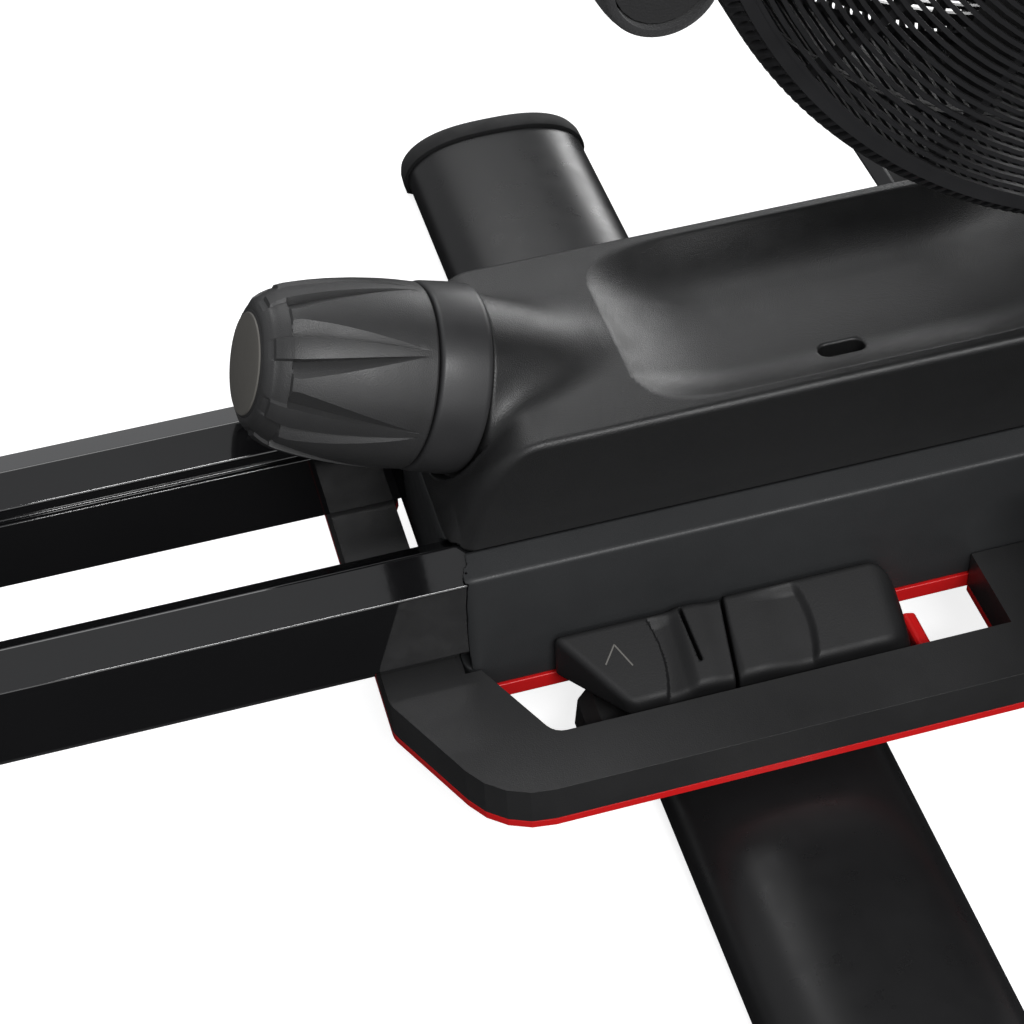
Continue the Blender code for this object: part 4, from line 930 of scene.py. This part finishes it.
def rim_ribs(bars, sign):
    """The straight ribs round the rim, bent over its shoulder."""
    count = round(2 * pi * CAGE_RADIUS / TICK_SPACING)
    off = 0.95 / CAGE_RADIUS
    for i in range(count):
        turn = 2 * pi * i / count
        levels = (
            (cage_clear(turn), 222.0, 225.0), (60.0, 222.0, 225.0), (64.5, 220.4, 223.6),
            (68.0, 216.0, 219.2),
        )
        bars.run([[
            on_cage(inner, turn - off, sign * y), on_cage(outer, turn - off, sign * y),
            on_cage(outer, turn + off, sign * y), on_cage(inner, turn + off, sign * y),
        ] for y, inner, outer in levels])


def hoops(bars, sign):
    """Two whole hoops, and one at the middle that breaks off where the fork and the strap pass."""
    full = [2 * pi * i / 240 for i in range(241)]
    arc(bars, sign, CAGE_HALF - 4.4, CAGE_HALF - 1.9, 214.6, 219.6, full)
    arc(bars, sign, 60.0, 62.5, 220.6, 224.4, full)
    clear = [turn for turn in full if cage_clear(turn) < 1.0]
    start = 0
    for i in range(1, len(clear) + 1):
        if i == len(clear) or clear[i] - clear[i - 1] > 0.04:
            arc(bars, sign, 0.3, 3.4, 220.8, 225.0, clear[start:i])
            start = i


def cage(side, sign, finishes):
    """One half of the cage, and the disc at the middle of its face."""
    bars = Bars()
    face_spiral(bars, sign)
    face_spokes(bars, sign)
    rim_ribs(bars, sign)
    hoops(bars, sign)
    ribs = bars.piece(f"cage_ribs_{side}", finishes["smooth"])
    attach(ribs, "frame", [f"fan_cage_{side}"])
    hub = ((9.0, 64.5), (9.0, 68.5), (11.0, 70.0), (40.0, 70.0), (60.0, 69.0), (62.5, 67.6), (62.5, 64.5))
    place = along_y(FAN_X, 0.0, FAN_Z, sign)
    disc = lathe(f"cage_hub_{side}", hub, place, finishes["smooth"], 96, ring=True)
    attach(disc, "frame")


def fan(finishes):
    for side, sign in SIDES:
        cage(side, sign, finishes)
    dress("fan_wheel", finishes["smooth"], 0.5)
    dress("flywheel", finishes["iron"], 0.8)
    dress("strap_drum", finishes["smooth"], 0.4)
    dress("strap_roller", finishes["grey"], 0.8)


# ---------------------------------------------------------------- handle and its strap
GRIP_START = 92.0
GRIP_END = 252.0
GRIP_GROOVES = 22
STRAP_START_X = HANDLE_X + 26.4
STRAP_END_X = FAN_X - 4.0


def grip_profile():
    """(radius, distance from the middle) along a foam grip, with fine grooves round it."""
    profile = [(11.4, GRIP_START), (13.0, GRIP_START), (13.7, GRIP_START + 0.8)]
    for i in range(61):
        along = i / 60
        crown = 14.2 + 2.3 * sin(pi * along) ** 0.6
        grooved = 0.12 < along < 0.88
        groove = 0.35 * max(0.0, sin(2 * pi * along * GRIP_GROOVES)) if grooved else 0.0
        profile.append((crown - groove, GRIP_START + 3.0 + along * 154.0))
    return profile + [(13.7, GRIP_END - 0.8), (13.0, GRIP_END), (11.4, GRIP_END)]


def handle(finishes):
    for side, sign in SIDES:
        place = along_y(HANDLE_X, 0.0, STRAP_Z, sign)
        foam = finishes["foam"]
        grip = lathe(f"foam_grip_{side}", grip_profile(), place, foam, 64, ring=True, smooth=60.0)
        attach(grip, "handle", [f"handle_grip_{side}"])
    dress("handle_bar", finishes["satin"], 0.8)
    dress("handle_cradle", finishes["satin"], 0.8)


def strap_section(x, half, thick):
    """A flat strap's section across Y, its edges slightly rounded."""
    low, high = STRAP_Z - thick / 2, STRAP_Z + thick / 2
    edge = thick / 3
    return [
        (x, -half, low + edge), (x, -half, high - edge), (x, -half + edge, high), (x, half - edge, high),
        (x, half, high - edge), (x, half, low + edge), (x, half - edge, low), (x, -half + edge, low),
    ]


def strap(finishes):
    """The webbing from the handle to the drum."""
    rings = [strap_section(x, 10.9, 1.7) for x in np.linspace(STRAP_START_X, STRAP_END_X, 120)]
    made = lofted("pull_webbing", rings, finishes["webbing"], 60.0)
    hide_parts("pull_strap")
    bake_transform(made)


# ---------------------------------------------------------------- footplates
PLATE_ANGLE = radians(52.0)
PLATE_HEEL = (576.0, 96.0)
PLATE_MIDDLE = 138.0
BAND_SECTION = (
    # distance up the plate, depth through the webbing
    (151.0, 0.3), (151.0, 1.5), (152.2, 1.8), (186.8, 1.8), (188.0, 1.5), (188.0, 0.3), (186.8, 0.0),
    (152.2, 0.0),
)


def plate_point(along, above):
    """The (x, z) of a point a distance up the plate and above it."""
    x = PLATE_HEEL[0] + along * cos(PLATE_ANGLE) - above * sin(PLATE_ANGLE)
    z = PLATE_HEEL[1] + along * sin(PLATE_ANGLE) + above * cos(PLATE_ANGLE)
    return x, z


def plate_box(bars, sign, along, across, above):
    """A box on the tread: (low, high) pairs up the plate, across it and above it."""
    corners = ((along[0], above[0]), (along[1], above[0]), (along[1], above[1]), (along[0], above[1]))
    outline = [plate_point(*corner) for corner in corners]
    bars.run([[(x, sign * y, z) for x, z in outline] for y in across])


def toe_strap(side, sign, finishes):
    """A band of webbing over the toes, in plain loops at the sides of the plate."""
    rings = []
    for i in range(73):
        turn = pi * i / 72
        across = PLATE_MIDDLE + 52.6 * cos(turn)
        above = 0.5 + 61.0 * sin(turn) ** 0.8
        out = Vector((cos(turn) / 53.0, sin(turn) ** 1.4 / 62.0 + 1e-4)).normalized()
        edge = 0.5 * sin(7.0 * turn) * sin(turn)
        ring = []
        for along, deep in BAND_SECTION:
            bow = edge * (1.0 - ((along - 169.5) / 18.5) ** 2)
            x, z = plate_point(along, max(0.45, above + out.y * (deep - 1.8 + bow)))
            ring.append((x, sign * (across + out.x * (deep - 1.8 + bow)), z))
        rings.append(ring)
    band = lofted(f"toe_strap_{side}", rings, finishes["webbing"], 60.0)
    attach(band, "frame", [f"foot_strap_{side}"])
    bars = Bars()
    for along in ((147.5, 150.6), (188.4, 191.5)):
        for across in (84.6, 186.8):
            plate_box(bars, sign, along, (across, across + 4.6), (0.2, 7.0))
    plate_box(bars, sign, (147.5, 191.5), (191.4, 193.6), (3.0, 7.0))
    loops = bars.piece(f"strap_loops_{side}", finishes["grey"])
    bevel(loops, 0.5, 2)
    attach(loops, "frame")


def footplates(finishes):
    for side, sign in SIDES:
        dress(f"footplate_{side}", finishes["smooth"], 1.5)
        dress(f"heel_cup_{side}", finishes["smooth"], 1.4)
        toe_strap(side, sign, finishes)
        bars = Bars()
        for i in range(6):
            along = 196.0 + 6.2 * i
            plate_box(bars, sign, (along, along + 3.0), (96.0, 180.0), (-0.3, 1.3))
        for low in (84.6, 188.6):
            plate_box(bars, sign, (8.0, 140.0), (low, low + 2.8), (-0.3, 2.2))
        tread = bars.piece(f"tread_ribs_{side}", finishes["rubber"])
        bevel(tread, 0.5, 2)
        attach(tread, "frame")


# ---------------------------------------------------------------- console
CONSOLE_TILT = radians(28.0)
CONSOLE_PLACE = (600.0, 0.0, 748.0)
STROKES = {
    "a": (0.5, 1.0, True), "b": (1.0, 0.75, False), "c": (1.0, 0.25, False), "d": (0.5, 0.0, True),
    "e": (0.0, 0.25, False), "f": (0.0, 0.75, False), "g": (0.5, 0.5, True),
}
DIGITS = {
    "0": "abcdef", "1": "bc", "2": "abged", "3": "abgcd", "4": "fgbc", "5": "afgcd", "6": "afgedc",
    "8": "abcdefg",
}
READINGS = (
    # digits, left end, base and size on the screen
    ("1240", -58.0, 52.0, 9.0), ("1860", -58.0, 30.0, 7.0), ("24", 28.0, 52.0, 9.0), ("356", 22.0, 30.0, 7.0),
    ("1053", -58.0, 10.0, 6.0),
)
INK_HEIGHTS = (35.5, 35.72)


def console_place():
    """A matrix for the console: its local Z axis is the screen's outward direction."""
    out = Vector((-cos(CONSOLE_TILT), 0.0, sin(CONSOLE_TILT)))
    up = Vector((sin(CONSOLE_TILT), 0.0, cos(CONSOLE_TILT)))
    turn = Matrix((up.cross(out), up, out)).transposed().to_4x4()
    return Matrix.Translation(CONSOLE_PLACE) @ turn


def display_row(bars, digits, left, base, size):
    """Seven-stroke digits on the display, each size wide and twice as high."""
    place = console_place()
    for i, digit in enumerate(digits):
        for stroke in DIGITS[digit]:
            across, up, flat = STROKES[stroke]
            x = left + i * size * 1.55 + across * size
            y = base + up * 2.0 * size
            wide, high = (size * 0.36, size * 0.09) if flat else (size * 0.09, size * 0.36)
            section = ((-wide, -high), (wide, -high), (wide, high), (-wide, high))
            bars.run([[place @ Vector((x + a, y + b, depth)) for a, b in section] for depth in INK_HEIGHTS])


def console(finishes):
    dress("console_case", finishes["smooth"], 1.6)
    dress("console_screen", finishes["screen"], 0.4)
    for side, _ in SIDES:
        dress(f"console_button_{side}", finishes["grey"], 0.7)
    dress("console_bracket", finishes["smooth"], 0.8)
    bars = Bars()
    for reading in READINGS:
        display_row(bars, *reading)
    digits = bars.piece("display_digits", finishes["ink"])
    attach(digits, "console")


# ---------------------------------------------------------------- seat
SEAT_BASE_Z = 162.4
SEAT_HEIGHT = 44.0
SEAT_HALF_LENGTH = 143.0
SEAT_HALF_WIDTH = 108.0
SEAT_SWELL = 6.0
SEAT_STEP = 5.0
CLOTH_FRAMES = 20


def seat_field(x, y, z):
    """The pad before it is stuffed: a rounded, waisted block with two hollows in its top."""
    a = np.abs(x - SEAT_X) / SEAT_HALF_LENGTH
    b = np.abs(y) / (SEAT_HALF_WIDTH - 10.0 * np.exp(-((x - SEAT_X - 60.0) / 55.0) ** 2))
    plan = ((a ** 3.2 + b ** 3.2 + 1e-9) ** (1.0 / 3.2) - 1.0) * SEAT_HALF_WIDTH
    hollow = 7.0 * np.exp(-((np.abs(y) - 52.0) / 30.0) ** 2 - ((x - SEAT_X + 20.0) / 62.0) ** 2)
    top = z - (SEAT_BASE_Z + SEAT_HEIGHT - hollow - 9.0 * a * a)
    shape = blend_max(plan, top, 22.0)
    return blend_max(shape, SEAT_BASE_Z - z, 6.0)


def stuffed(piece):
    """Blows the pad up as sewn cloth and keeps its flat base; each point moves at most the swell."""
    before = [point.co.copy() for point in piece.data.vertices]
    cloth = piece.modifiers.new("cloth", "CLOTH")
    cloth.settings.use_pressure = True
    cloth.settings.uniform_pressure_force = 4.0
    cloth.settings.effector_weights.gravity = 0.0
    cloth.settings.quality = 5
    cloth.point_cache.frame_start = 1
    cloth.point_cache.frame_end = CLOTH_FRAMES
    for step in range(1, CLOTH_FRAMES + 1):
        bpy.context.scene.frame_set(step)
    graph = bpy.context.evaluated_depsgraph_get()
    after = [point.co.copy() for point in piece.evaluated_get(graph).data.vertices]
    piece.modifiers.remove(cloth)
    for point, old, new in zip(piece.data.vertices, before, after):
        move = new - old
        rise = min(1.0, max(0.0, (old.z - (SEAT_BASE_Z + 1.0) * MM) / (14.0 * MM)))
        reach = min(move.length, SEAT_SWELL * MM) * rise
        if move.length > 1e-9:
            point.co = old + move.normalized() * reach


def seat(finishes):
    low = (SEAT_X - SEAT_HALF_LENGTH, -SEAT_HALF_WIDTH, SEAT_BASE_Z)
    high = (SEAT_X + SEAT_HALF_LENGTH, SEAT_HALF_WIDTH, SEAT_BASE_Z + SEAT_HEIGHT)
    pad = moulded("seat_cushion", seat_field, low, high, SEAT_STEP, finishes["leather"])
    pad.data.attributes.remove(pad.data.attributes["custom_normal"])
    stuffed(pad)
    smooth = pad.modifiers.new("smooth", "SUBSURF")
    smooth.levels = 1
    smooth.render_levels = 1
    attach(pad, "seat", ["seat_pad"])
    dress("seat_carriage", finishes["satin"], 0.6)
    for side, _ in SIDES:
        for place in ("front", "rear"):
            dress(f"seat_roller_{place}_{side}", finishes["grey"], 0.6)


# ---------------------------------------------------------------- carried-over nodes
METAL_NODES = (
    # node, finish, width of its rounded edges
    ("side_frame_trim", "red", 0.5), ("rear_foot", "foot_paint", 2.0), ("front_foot", "foot_paint", 2.0),
    ("main_spine", "satin", 1.5), ("fan_fork", "satin", 0.8), ("fan_axle", "steel", 0.8),
    ("brake_yoke", "iron", 0.5),
)


def metalwork(finishes):
    for side, _ in SIDES:
        dress(f"rail_{side}", finishes["gloss"], 0.9, 3, 12.0)
        dress(f"rail_cap_{side}", finishes["smooth"], 1.0)
        dress(f"transport_wheel_{side}", finishes["rubber"], 0.8)
    dress("side_frame", finishes["satin"], 2.4, 4)
    for node, finish, width in METAL_NODES:
        dress(node, finishes[finish], width)


camera()
studio()
FINISHES = looks()
body_shells(FINISHES)
knob(FINISHES)
locks(FINISHES)
cross_foot(FINISHES)
fan(FINISHES)
handle(FINISHES)
strap(FINISHES)
footplates(FINISHES)
console(FINISHES)
seat(FINISHES)
metalwork(FINISHES)
